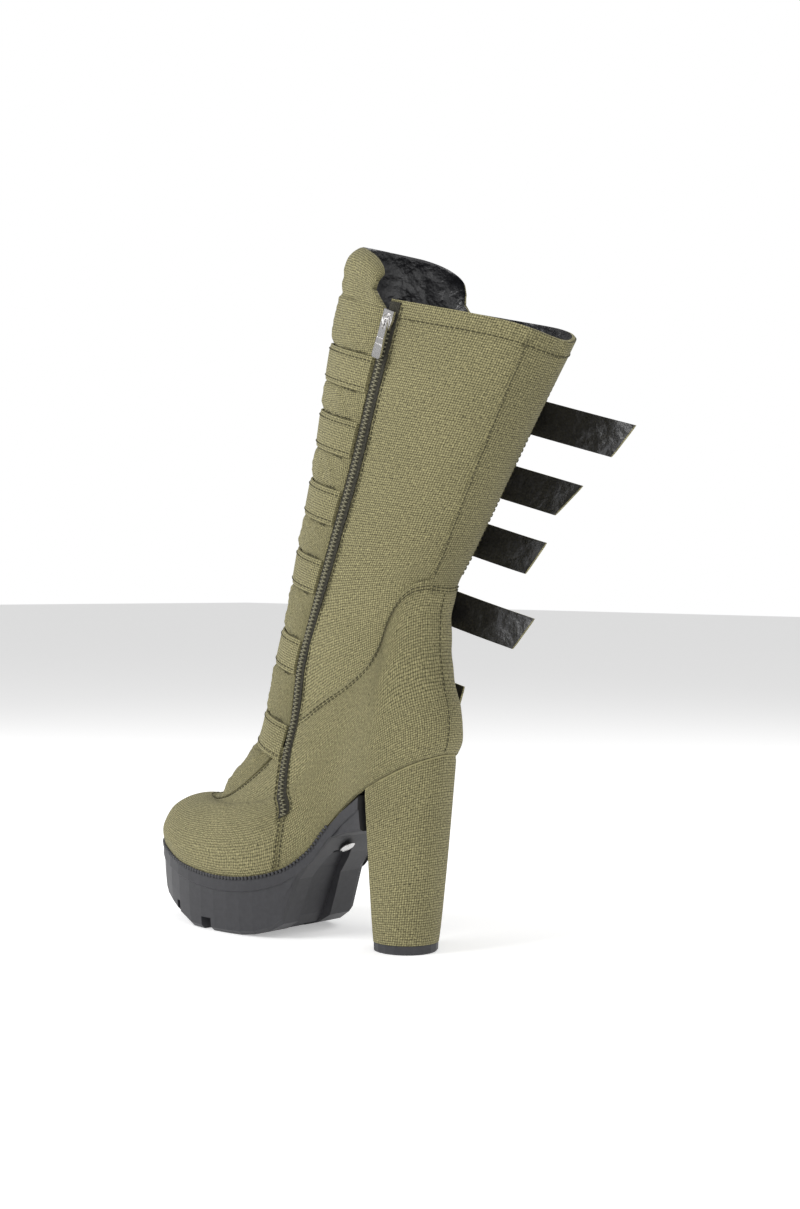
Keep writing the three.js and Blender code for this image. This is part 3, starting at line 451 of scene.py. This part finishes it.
def blend(tree, factor, a, b, kind="MIX"):
    n = tree.nodes.new("ShaderNodeMix")
    n.data_type = "RGBA"
    n.blend_type = kind
    for socket, v in ((n.inputs[0], factor), (n.inputs[6], a), (n.inputs[7], b)):
        if isinstance(v, (int, float)):
            socket.default_value = v
        elif isinstance(v, tuple):
            socket.default_value = (*v, 1)
        else:
            tree.links.new(v, socket)
    return n.outputs[2]


def base_material(name, rough, metal=0.0):
    mat = bpy.data.materials.new(name)
    mat.use_nodes = True
    tree = mat.node_tree
    shader = tree.nodes["Principled BSDF"]
    shader.inputs["Roughness"].default_value = rough
    shader.inputs["Metallic"].default_value = metal
    return mat, tree, shader


def add_group(tree, source, place, **values):
    n = tree.nodes.new("ShaderNodeGroup")
    n.node_tree = source
    tree.links.new(place, n.inputs["Place"])
    for k, v in values.items():
        n.inputs[k].default_value = v
    return n


def bump(tree, shader, height, strength, distance, normal=None):
    n = tree.nodes.new("ShaderNodeBump")
    n.inputs["Strength"].default_value = strength
    n.inputs["Distance"].default_value = distance
    tree.links.new(height, n.inputs["Height"])
    if normal is not None:
        tree.links.new(normal, n.inputs["Normal"])
    tree.links.new(n.outputs[0], shader.inputs["Normal"])
    return n.outputs[0]


def canvas_material(name, light, dark, pitch):
    mat, tree, shader = base_material(name, .94)
    shader.inputs["Sheen Weight"].default_value = .06
    shader.inputs["Sheen Roughness"].default_value = .5
    shader.inputs["Specular IOR Level"].default_value = .22
    coord = tree.nodes.new("ShaderNodeTexCoord")
    weave = add_group(tree, GROUPS["weave"], coord.outputs["UV"], Pitch=pitch, Slub=1.1)
    wear = add_group(tree, GROUPS["wear"], coord.outputs["Object"], Size=16.0)
    # The dark colour laid into the gaps between the threads is painted shade in the weave
    base = blend(tree, weave.outputs["Gap"], light, dark)
    shade = maths(tree, "ADD", weave.outputs["Shade"], .5)
    base = blend(tree, .8, base, shade, "OVERLAY")
    fleck = tree.nodes.new("ShaderNodeTexNoise")
    fleck.inputs["Scale"].default_value = 620
    fleck.inputs["Detail"].default_value = 1
    tree.links.new(coord.outputs["UV"], fleck.inputs["Vector"])
    knots = maths(tree, "SMOOTH_MAX", maths(tree, "MULTIPLY_ADD", fleck.outputs[0], 4.0, -2.25), 0.0, .1)
    base = blend(tree, maths(tree, "MULTIPLY", knots, .5), base, tuple(min(1, c * 1.9) for c in light))
    pits = maths(tree, "SMOOTH_MAX", maths(tree, "MULTIPLY_ADD", fleck.outputs[0], -5.0, 1.95), 0.0, .1)
    base = blend(tree, maths(tree, "MULTIPLY", pits, .8), base, tuple(c * .7 for c in dark))
    patch = maths(tree, "MULTIPLY_ADD", wear.outputs["Patches"], .34, .83)
    base = blend(tree, 1.0, base, patch, "MULTIPLY")
    tree.links.new(base, shader.inputs["Base Color"])
    bump(tree, shader, weave.outputs["Height"], .8, .0005)
    return mat


def leather_material(name, color, rough=.42):
    mat, tree, shader = base_material(name, rough)
    coord = tree.nodes.new("ShaderNodeTexCoord")
    grain = add_group(tree, GROUPS["grain"], coord.outputs["Object"], Scale=950.0)
    wear = add_group(tree, GROUPS["wear"], coord.outputs["Object"], Size=30.0)
    base = blend(tree, grain.outputs["Fleck"], color, (.24, .24, .25))
    tree.links.new(base, shader.inputs["Base Color"])
    gloss = maths(tree, "MULTIPLY_ADD", wear.outputs["Patches"], .3, rough - .14)
    tree.links.new(gloss, shader.inputs["Roughness"])
    shader.inputs["Specular IOR Level"].default_value = .75
    folds = add_group(tree, GROUPS["wear"], coord.outputs["Object"], Size=75.0)
    soft = bump(tree, shader, folds.outputs["Patches"], .6, .006)
    bump(tree, shader, grain.outputs["Height"], .45, .0003, soft)
    return mat


def rubber_material():
    mat, tree, shader = base_material("Black rubber", .5)
    coord = tree.nodes.new("ShaderNodeTexCoord")
    wear = add_group(tree, GROUPS["wear"], coord.outputs["Object"], Size=22.0)
    base = blend(tree, wear.outputs["Dust"], (.018, .018, .021), (.036, .036, .041))
    tree.links.new(base, shader.inputs["Base Color"])
    tree.links.new(maths(tree, "MULTIPLY_ADD", wear.outputs["Patches"], .25, .38), shader.inputs["Roughness"])
    bump(tree, shader, wear.outputs["Dust"], .12, .0003)
    return mat


def metal_material():
    mat, tree, shader = base_material("Bright nickel", .2, 1.0)
    coord = tree.nodes.new("ShaderNodeTexCoord")
    wear = add_group(tree, GROUPS["wear"], coord.outputs["Object"], Size=60.0)
    color = blend(tree, wear.outputs["Patches"], (.62, .61, .6), (.8, .79, .78))
    tree.links.new(color, shader.inputs["Base Color"])
    tree.links.new(maths(tree, "MULTIPLY_ADD", wear.outputs["Dust"], .2, .12), shader.inputs["Roughness"])
    return mat


GROUPS = {}
MATS = {}


def make_materials():
    GROUPS.update(weave=weave_group(), wear=wear_group(), grain=grain_group())
    light = (.290, .264, .136)
    # Colour of the gaps between the threads: painted shade in the weave, also in the darker copy for the
    # strip
    dark = (.010, .009, .004)
    pitch = bpy.context.scene.boot_settings.weave_pitch
    strip_light = tuple(c * .84 for c in light)
    strip_dark = tuple(c * .8 for c in dark)
    MATS.update(
        canvas=canvas_material("Olive canvas", light, dark, pitch),
        strip=canvas_material("Olive canvas of the strip", strip_light, strip_dark, pitch),
        thread=canvas_material("Olive thread", tuple(c * .92 for c in light), dark, .0006),
        tape=canvas_material("Dark zip tape", (.050, .047, .034), (.016, .015, .011), .0007),
        teeth=canvas_material("Moulded zip teeth", (.235, .222, .150), (.18, .17, .11), .004),
        leather=leather_material("Black lining", (.007, .007, .009), .36),
        rubber=rubber_material(),
        metal=metal_material(),
    )


def finish(obj, body, material_slot, *nodes):
    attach(obj, body)
    if nodes:
        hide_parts(*nodes)


# Pieces

def pad_height(height, valley=4.2, bulge=6.0, crease=2.4):
    best = np.full(np.shape(height), 1e9)
    half = np.full(np.shape(height), 11.7)
    for h, lift, wide, *_ in STRAPS:
        d = np.abs(height - h - lift) - wide / 2
        half = np.where(d < best, wide / 2, half)
        best = np.minimum(d, best)
    under = crease + (valley - crease) * np.clip(-best / (half * .3), 0, 1)
    over = crease + (bulge - crease) * np.sqrt(np.clip(best / 7.0, 0, 1) * (2 - np.clip(best / 7.0, 0, 1)))
    return np.where(best < 0, under, over)


def build_upper():
    rows = 150
    cols = 260
    level = np.linspace(0, 1, rows)[:, None]
    edge = zip_side(level, np.where(level < ZIP_FOOT - .01, .55, ZIP_HALF + .9))
    b = np.linspace(-1, 1, cols)[None, :]
    turn = b * edge
    p = form(level, turn)
    crease = np.zeros_like(turn)
    # Soft creases across the ankle and the calf: height on the shaft, width, depth
    for h, w, depth, tilt in ((243, 5, .9, .10), (222, 4, .7, -.12), (196, 4.5, .8, .18), (330, 9, .8, -.2),
                              (290, 8, .7, .22), (372, 8, .7, .12)):
        line = lean(p) - h - tilt * (p[..., 0] + 20) - 3 * noise(p, 90, int(h))
        crease = crease - depth * np.exp(-(line / w) ** 2) * (.45 + .55 * noise(p, 120, int(h) + 5))
    fade = np.clip(level * 6, 0, 1) * np.clip((1 - np.abs(b)) * 14, 0, 1)
    crease = (crease + .5 * noise(p, 70, 3)) * fade
    outer = lifted(level, turn, crease)
    outer[0, :, 2] = sole_top(outer[0, :, 0])
    inner = lifted(level, turn, crease * .6 - WALL)
    inner[0, :, 2] = sole_top(inner[0, :, 0])
    lined = [MATS["canvas"], MATS["leather"]]
    shaft = slab("upper_shaft", outer, inner, lined, arc_uv(outer, cols // 2))
    finish(shaft, "boot", "canvas", "upper")

    # Rear quarter laid over the shaft
    share = np.linspace(0, 1, 90)[:, None]
    b = np.linspace(-1, 1, 240)[None, :]
    size = np.abs(b) * .295
    lev = .004 + (curve(QUARTER[:, 0], QUARTER[:, 1], size) - .004) * share
    side = zip_side(lev, np.where(lev < ZIP_FOOT - .01, -.5, -ZIP_HALF - .6))
    size = np.minimum(size, np.abs(b) * side)
    lev = .004 + (curve(QUARTER[:, 0], QUARTER[:, 1], size) - .004) * share
    turn = np.sign(b) * size
    p = form(lev, turn)
    wave = .35 * noise(p, 60, 9)
    rim = np.clip(np.minimum((1 - share) * 40, (1 - np.abs(b)) * 60), 0, 1)
    low = np.clip(share * 45, 0, 1) ** .5
    outer = lifted(lev, turn, -.7 + .95 * low + (.75 * rim ** .5 + wave * rim) * low)
    inner = lifted(lev, turn, -.9 + 0 * lev)
    uv = arc_uv(outer, 120)
    finish(slab("upper_quarter", outer, inner, [MATS["canvas"]], uv), "boot", "canvas")

    # Back strip
    lev = np.linspace(.655, .9995, 90)[:, None]
    b = np.linspace(-1, 1, 40)[None, :]
    turn = b * curve(STRIP[:, 0], STRIP[:, 1], lev)
    fold = -1.2 * np.exp(-((b - .15) / .18) ** 2) * np.clip((lev - .9) * 12, 0, 1)
    outer = lifted(lev, turn, .3 + .8 * np.clip((1 - np.abs(b)) * 12, 0, 1) ** .5 + fold + 0 * lev)
    inner = lifted(lev, turn, -.8 + fold + 0 * lev)
    finish(slab("upper_back_strip", outer, inner, [MATS["strip"]], arc_uv(outer, 20)), "boot", "canvas")

    # Vamp over the toe
    a = np.linspace(0, 1, 80)[:, None]
    b = np.linspace(-1, 1, 200)[None, :]
    turn = .5 - np.abs(b) * (.5 - zip_side(.2 * a, .6))
    lev = .004 + (throat_level(turn) - .004) * a
    for _ in range(3):
        turn = .5 - np.abs(b) * (.5 - zip_side(lev, np.where(lev < ZIP_FOOT - .01, .6, ZIP_HALF + .9)))
        lev = .004 + (throat_level(turn) - .004) * a
    turn = np.where(b < 0, 1 - turn, turn)
    p = form(lev, turn)
    rim = np.clip(np.minimum((1 - a) * 30, (1 - np.abs(b)) * 50), 0, 1) ** .5
    outer = lifted(lev, turn, .2 + .85 * rim + .3 * noise(p, 55, 21) * rim)
    inner = lifted(lev, turn, -WALL + 0 * lev)
    finish(slab("upper_vamp", outer, inner, lined, arc_uv(outer, 100)), "boot", "canvas")


def seam(name, level, turn, out):
    level, turn = np.asarray(level), np.asarray(turn)
    obj = stitches(name, lifted(level, turn, out), outward(level, turn), [MATS["thread"]])
    finish(obj, "boot", "canvas")


def build_seams():
    if not bpy.context.scene.boot_settings.with_stitches:
        return
    t = np.linspace(0, .29, 80)
    for sign, side in ((1, "inner"), (-1, "outer")):
        for k, gap in enumerate((.012, .020)):
            seam(f"stitch_quarter_{side}_{k}", curve(QUARTER[:, 0], QUARTER[:, 1], t) - gap, sign * t, 1.35)
        lev = np.linspace(.70, .99, 80)
        seam(f"stitch_strip_{side}", lev, sign * (curve(STRIP[:, 0], STRIP[:, 1], lev) - .005), 1.35)
        lev = np.linspace(.03, .995, 160)
        edge = zip_side(lev, np.where(lev < ZIP_FOOT, -2.0, -ZIP_HALF - 2.4))
        seam(f"stitch_zip_{side}", lev, edge if sign > 0 else 1 - edge, np.where(lev < .5, 1.35, .45))
        lev = np.linspace(.03, .44, 60)
        edge = zip_side(lev, np.where(lev < ZIP_FOOT, 2.0, ZIP_HALF + 2.4))
        seam(f"stitch_vamp_{side}", lev, edge if sign > 0 else 1 - edge, 1.35)
    t = np.linspace(.32, .68, 60)
    seam("stitch_throat", throat_level(t) - .012, t, 1.35)
    lev = np.linspace(.02, .66, 80)
    seam("stitch_heel_back", lev, lev * 0 + .013, 1.4)
    t = np.linspace(-.27, .27, 100)
    seam("stitch_collar", t * 0 + .984, t, np.where(np.abs(t) < .083, 1.4, .5))


def panel_grid(rows, inside):
    across = np.linspace(-1, 1, 110)[None, :]
    turn0 = panel_turn(.42 + 0 * across, across)
    seam_h = lean(form(throat_level(turn0) + .004, turn0))
    collar = float(lean(form(1., .5)))
    main = collar - 4
    share = np.linspace(0, 1, rows)[:, None]
    height = seam_h + (main - seam_h) * share
    level = level_for(height, lambda v: panel_turn(v, across))
    turn = panel_turn(level, across)
    edge = 1 - np.abs(across) ** 6
    p = form(level, turn)
    wrinkle = .55 * noise(p * np.array([1, 1.6, 1]), 26, 31) + .35 * noise(p, 12, 32)
    lift = .3 + (pad_height(height) - .3 + wrinkle) * edge
    lift = lift * np.clip(share * 26, .25, 1)
    body = lifted(level, turn, -3 * (.5 + .5 * edge) if inside else lift)
    # Rounded top of the tongue
    share = np.linspace(.03, 1, 46)[:, None]
    corner = np.clip((np.abs(across) - .55) / .45, 0, 1)
    top = collar + 30 - 13 * (1 - np.sqrt(np.clip(1 - corner ** 2, 0, 1)))
    height = main + (top - main) * share
    narrow = across * (1 - .13 * np.clip(share * 2, 0, 1))
    level = level_for(height, lambda v: panel_turn(np.minimum(v, 1.04), narrow))
    turn = panel_turn(np.minimum(level, 1.04), narrow)
    curl = np.clip((share - .5) / .5, 0, 1)
    thin = np.sqrt(np.clip(1 - curl ** 2, 0, 1))
    p = form(level, turn)
    fold = np.exp(-((height - collar - 6 - 8 * across) / 3.5) ** 2)
    rise = 5.2 + .8 * noise(p, 30, 41) - 1.6 * fold * (1 - share)
    rise = rise - 1.2 * np.exp(-((height - collar - 2 + 9 * across) / 2.5) ** 2)
    mid, half = (rise - 3) / 2 - 5 * curl ** 3, (rise + 3) / 2
    side = .3 + .7 * edge
    head = lifted(level, turn, mid - half * thin * side if inside else mid + half * thin * side)
    return np.concatenate([body, head])


def build_panel():
    outer, inner = panel_grid(300, False), panel_grid(300, True)
    obj = slab("front_panel_pad", outer, inner, [MATS["canvas"], MATS["leather"]], arc_uv(outer, 55))
    finish(obj, "boot", "canvas", "front_panel")
    # Quilting stitches in the creases beside each strap
    across = np.linspace(-.93, .93, 70)
    for k, (h, lift, wide, *_) in enumerate(STRAPS):
        for side in (-1, 1):
            height = h + lift + side * (wide / 2 + 1.2) + 0 * across
            level = level_for(height, lambda v: panel_turn(v, across))
            turn = panel_turn(level, across)
            pts = lifted(level, turn, 3.0 + 0 * across)
            if lean(pts).min() < 95:
                continue
            name = f"stitch_panel_{k + 1}_{'low' if side < 0 else 'high'}"
            obj = stitches(name, pts, outward(level, turn), [MATS["thread"]])
            finish(obj, "boot", "canvas")


def strap_grid(strap, low_extra, count=9):
    h, lift, wide, tail, cut, leave = strap
    t = np.linspace(-1, 1, count)[None, :]
    across = np.linspace(.995, -.97, 90)[:, None]
    height = h + lift + t * wide / 2 + 0 * across
    level = level_for(height, lambda v: panel_turn(v, across))
    turn = panel_turn(level, across)
    valley = .35 + 4.15 * (1 - np.abs(across) ** 5)
    front = lifted(level, turn, np.maximum(valley, .65) + low_extra + 0 * t)
    last = float(turn[-1].mean())
    turns = np.linspace(last + .006, leave, 40)[:, None]
    fade = lift * (1 - np.linspace(1, 40, 40)[:, None] / 40)
    height = h + fade + t * wide / 2
    level = level_for(height, lambda v: turns + 0 * v)
    side = lifted(level, turns + 0 * level, 1.15 + low_extra + 0 * level)
    start = side[-1]
    share = np.linspace(.03, 1, 46)[:, None]
    corner = -tail + cut * (1 - t) / 2
    run = (start[None, :, 0] - corner) * share
    inward = math.tan(math.radians(3)) if leave < .8 else 0
    wave = .9 * np.sin(share * 5.2 + h) * share + .6 * t * share * np.sin(h)
    end = np.stack([start[None, :, 0] - run, start[None, :, 1] + run * inward + wave,
                    start[None, :, 2] - run * math.tan(LEAN) + 0.9 * share ** 2], -1)
    return np.concatenate([front, side, end])


def build_straps():
    for k, strap in enumerate(STRAPS):
        inner = strap_grid(strap, 0.0)
        outer = strap_grid(strap, 1.75)
        # Edges of the strap rolled slightly over
        roll = np.abs(np.linspace(-1, 1, outer.shape[1]))[None, :, None] ** 6
        outer = outer + (inner - outer) * roll * .3
        name = f"strap_{k + 1}"
        obj = slab(f"{name}_band", outer, inner, [MATS["canvas"], MATS["leather"]], arc_uv(outer, 4))
        finish(obj, "boot", "canvas", name)
        for j, col in ((0, 1), (1, -2)):
            path = outer[:, col] + (outer[:, col] - inner[:, col]) * .12
            obj = stitches(f"{name}_stitch_{j}", path, outer[:, col] - inner[:, col], [MATS["thread"]])
            finish(obj, "boot", "canvas")


def build_zip():
    level = np.linspace(ZIP_FOOT, .998, 200)[:, None]
    b = np.linspace(-1, 1, 13)[None, :]
    turn = zip_side(level, b * (ZIP_HALF + .6))
    outer = lifted(level, turn, .9 + .5 * (1 - np.abs(b)) + 0 * level)
    inner = lifted(level, turn, .12 + 0 * turn)
    tapes = slab("zip_tapes", outer, inner, [MATS["tape"]], arc_uv(outer, 6))
    finish(tapes, "boot", "zip_cloth", "zip_tape")
    path_level = np.linspace(ZIP_FOOT + .004, .972, 1200)
    path = form(path_level, zip_turn(path_level))
    run = np.concatenate([[0], np.cumsum(np.linalg.norm(np.diff(path, axis=0), axis=1))])
    centres, axes, sizes = [], [], []
    for k in range(int(run[-1] / TOOTH_PITCH)):
        lev = float(np.interp(k * TOOTH_PITCH, run, path_level))
        turn = float(zip_turn(lev))
        n = outward(lev, turn)
        t = form(lev + .004, zip_turn(lev + .004)) - form(lev - .004, zip_turn(lev - .004))
        t = t - n * np.dot(t, n)
        t /= np.linalg.norm(t)
        s = np.cross(t, n)
        side = 1 if k % 2 else -1
        centres.append(form(lev, turn) + n * 1.75 + s * side * .75)
        axes.append([s, t, n])
        sizes.append([1.35, .5, .62])
    finish(boxes("zip_teeth", centres, axes, sizes, [MATS["teeth"]], .7), "boot", "zip_cloth")
    for name in ("zip_slider", "zip_pull", "shank_screw"):
        dress(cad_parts[name], "metal", .22)


def dress(obj, material, bevel):
    obj.data.materials.clear()
    obj.data.materials.append(MATS[material])
    if bevel:
        mod = obj.modifiers.new("Edge", "BEVEL")
        mod.width = bevel * MM
        mod.segments = 2
        mod.limit_method = "ANGLE"
        mod.angle_limit = math.radians(35)


def rim_points(turn, margin):
    e = 1e-3
    p = form(0., turn)
    d = form(0., turn + e) - form(0., turn - e)
    length = np.hypot(d[..., 0], d[..., 1])
    return np.stack([p[..., 0] - d[..., 1] / length * margin, p[..., 1] + d[..., 0] / length * margin], -1)


def build_sole():
    for name in ("outsole", "heel_tip"):
        dress(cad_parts[name], "rubber", .5)
    # Notched welt between the upper and the sole unit
    turn = np.linspace(.19, .81, 2400)
    pts = rim_points(turn, 1.1)
    z = sole_top(pts[:, 0])
    path = np.concatenate([pts, z[:, None]], 1)
    run = np.concatenate([[0], np.cumsum(np.linalg.norm(np.diff(path, axis=0), axis=1))])
    centres, axes, sizes = [], [], []
    for k in range(int(run[-1] / WELT_PITCH)):
        i = int(np.searchsorted(run, (k + .5) * WELT_PITCH))
        i = min(max(i, 2), len(path) - 3)
        t = path[i + 2] - path[i - 2]
        t /= np.linalg.norm(t)
        side = np.cross(t, [0, 0, 1.0])
        side /= np.linalg.norm(side)
        centres.append(path[i] + np.array([0, 0, -.2]))
        axes.append([t, side, np.cross(side, t) * -1])
        sizes.append([1.0, 1.7, 1.15])
    finish(boxes("welt_notches", centres, axes, sizes, [MATS["rubber"]], .8), "boot", "sole_rubber")


def build_heel():
    rows = []
    turns = np.linspace(-1, 1, 81)
    low = 0.
    high = .5
    for _ in range(30):
        mid = (low + high) / 2
        low, high = (mid, high) if form(0., mid)[0] < HEEL_BREAST - 5 else (low, mid)
    for rise in np.linspace(0, 1, 60):
        top = rim_points(np.where(turns < 0, 1 + turns * low, turns * low), .5)
        angle = np.pi - turns * HEEL_FOOT_SPREAD
        foot = np.stack([HEEL_FOOT_MIDDLE + HEEL_FOOT * np.cos(angle), HEEL_FOOT * np.sin(angle)], -1)
        loop = foot + (top - foot) * rise ** .85
        tail = np.array([[HEEL_BREAST, loop[-1, 1] * .8]])
        head = np.array([[HEEL_BREAST, loop[0, 1] * .8]])
        loop = np.concatenate([head, loop, tail])
        loop[:, 0] = np.minimum(loop[:, 0], HEEL_BREAST)
        close = np.linspace(0, 1, 12)[1:, None]
        loop = np.concatenate([loop, tail + (head - tail) * close])
        z = HEEL_TIP_TOP + (sole_top(loop[:, 0]) - .45 - HEEL_TIP_TOP) * rise
        rows.append(np.concatenate([loop, z[:, None]], 1))
    outer = np.array(rows)
    centre = outer.mean(1, keepdims=True)
    flat = outer - centre
    length = np.linalg.norm(flat[..., :2], axis=-1, keepdims=True)
    roll = np.clip((1 - np.linspace(0, 1, 60)[:, None, None]) * 40, 0, 1) ** .5
    outer[..., :2] += flat[..., :2] / length * (.4 - 1.1 * (1 - roll))
    inner = outer.copy()
    inner[..., :2] -= flat[..., :2] / length * 1.2
    finish(slab("heel_cover", outer, inner, [MATS["canvas"]], arc_uv(outer, 41)), "boot", "canvas")
    dress(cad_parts["heel"], "canvas", 0)
    dress(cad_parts["insole"], "leather", 0)


def build_stage():
    corners = np.array([[-1, -1, 0], [1, -1, 0], [1, 1, 0], [-1, 1, 0]]) * FLOOR_HALF
    floor = new_object("floor", corners, [[0, 1, 2, 3]], [])
    mat, tree, shader = base_material("Pale floor", .9)
    shader.inputs["Base Color"].default_value = (.93, .93, .93, 1)
    shader.inputs["Emission Color"].default_value = (1, 1, 1, 1)
    shader.inputs["Emission Strength"].default_value = .36
    floor.data.materials.append(mat)
    world = bpy.data.worlds.new("Studio")
    world.use_nodes = True
    sky = world.node_tree
    sky.nodes["Background"].inputs[0].default_value = (1, 1, 1, 1)
    path = sky.nodes.new("ShaderNodeLightPath")
    strength = maths(sky, "MULTIPLY_ADD", path.outputs["Is Camera Ray"], .62, .38)
    sky.links.new(strength, sky.nodes["Background"].inputs[1])
    bpy.context.scene.world = world
    # Lights: place, aim, size and power
    for name, place, size, power in (("key", (.7, 1.5, 1.3), 1.0, 24), ("fill", (-1.3, 1.0, .8), 1.4, 7),
                                     ("rim", (-.4, -1.3, 1.2), 1.0, 10), ("toe", (1.5, .2, .7), .9, 6)):
        data = bpy.data.lights.new(name, "AREA")
        data.size = size
        data.energy = power
        lamp = bpy.data.objects.new(name, data)
        lamp.location = place
        lamp.rotation_euler = (Vector((0.02, 0, .22)) - Vector(place)).to_track_quat("-Z", "Y").to_euler()
        bpy.context.scene.collection.objects.link(lamp)
    bpy.context.scene.view_settings.view_transform = "Standard"
    place_camera()


def place_camera():
    ahead = np.array([math.sin(VIEW_TURN), -math.cos(VIEW_TURN), 0]) * math.cos(VIEW_PITCH)
    ahead[2] = -math.sin(VIEW_PITCH)
    right0 = np.array([-math.cos(VIEW_TURN), -math.sin(VIEW_TURN), 0.])
    up0 = np.cross(right0, ahead)
    right = right0 * math.cos(VIEW_ROLL) + up0 * math.sin(VIEW_ROLL)
    up = -right0 * math.sin(VIEW_ROLL) + up0 * math.cos(VIEW_ROLL)
    place = (-VIEW_BACK * ahead - VIEW_SHIFT * right + VIEW_HEIGHT * up) * MM
    data = bpy.data.cameras.new("camera")
    data.sensor_width = SENSOR
    data.lens = FOCAL_PIXELS / IMAGE_HEIGHT * SENSOR
    cam = bpy.data.objects.new("camera", data)
    cam.matrix_world = Matrix([[*row] for row in zip(right, up, -ahead, place)] + [[0, 0, 0, 1]])
    bpy.context.scene.collection.objects.link(cam)
    bpy.context.scene.camera = cam


class BootSettings(bpy.types.PropertyGroup):
    weave_pitch: bpy.props.FloatProperty(
        name="Weave pitch", description="Distance between neighbouring threads of the canvas",
        default=.00155, min=.0005, max=.005, unit="LENGTH")
    with_stitches: bpy.props.BoolProperty(
        name="Stitches", description="Lay the rows of thread along the seams", default=True)


def operator(label, doc, action):
    """Makes one operator class for a piece or a group of like pieces."""
    key = label.lower().replace(" ", "_")

    def execute(self, context):
        action()
        return {"FINISHED"}

    return type("BOOT_OT_" + key, (bpy.types.Operator,), {
        "__doc__": doc, "bl_idname": "boot." + key, "bl_label": label, "execute": execute})


OPERATORS = [
    operator("Materials", "Make the shared shader groups and materials", make_materials),
    operator("Upper", "Build the canvas upper with its quarter, strip and vamp", build_upper),
    operator("Seams", "Lay the stitches of the upper", build_seams),
    operator("Front panel", "Build the padded front panel and its tongue", build_panel),
    operator("Straps", "Build the straps and their free tails", build_straps),
    operator("Zip", "Build the zip tapes and teeth and dress the slider", build_zip),
    operator("Sole", "Dress the sole unit and lay its notched welt", build_sole),
    operator("Heel", "Cover the heel in canvas and dress the insole", build_heel),
    operator("Stage", "Set the floor, the lights and the camera", build_stage),
]


class BOOT_PT_panel(bpy.types.Panel):
    """Lists the steps that build the boot."""

    bl_label = "Boot"
    bl_idname = "BOOT_PT_panel"
    bl_space_type = "VIEW_3D"
    bl_region_type = "UI"
    bl_category = "Boot"

    def draw(self, context):
        for op in OPERATORS:
            self.layout.operator(op.bl_idname)


CLASSES = [BootSettings, *OPERATORS, BOOT_PT_panel]


def register():
    for cls in CLASSES:
        bpy.utils.register_class(cls)
    bpy.types.Scene.boot_settings = bpy.props.PointerProperty(type=BootSettings)


def unregister():
    del bpy.types.Scene.boot_settings
    for cls in reversed(CLASSES):
        bpy.utils.unregister_class(cls)


def main():
    register()
    for op in OPERATORS:
        name = op.bl_idname.split(".")[1]
        if getattr(bpy.ops.boot, name)() != {"FINISHED"}:
            raise RuntimeError(f"step {name} didn't finish")
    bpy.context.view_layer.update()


if __name__ == "__main__":
    main()
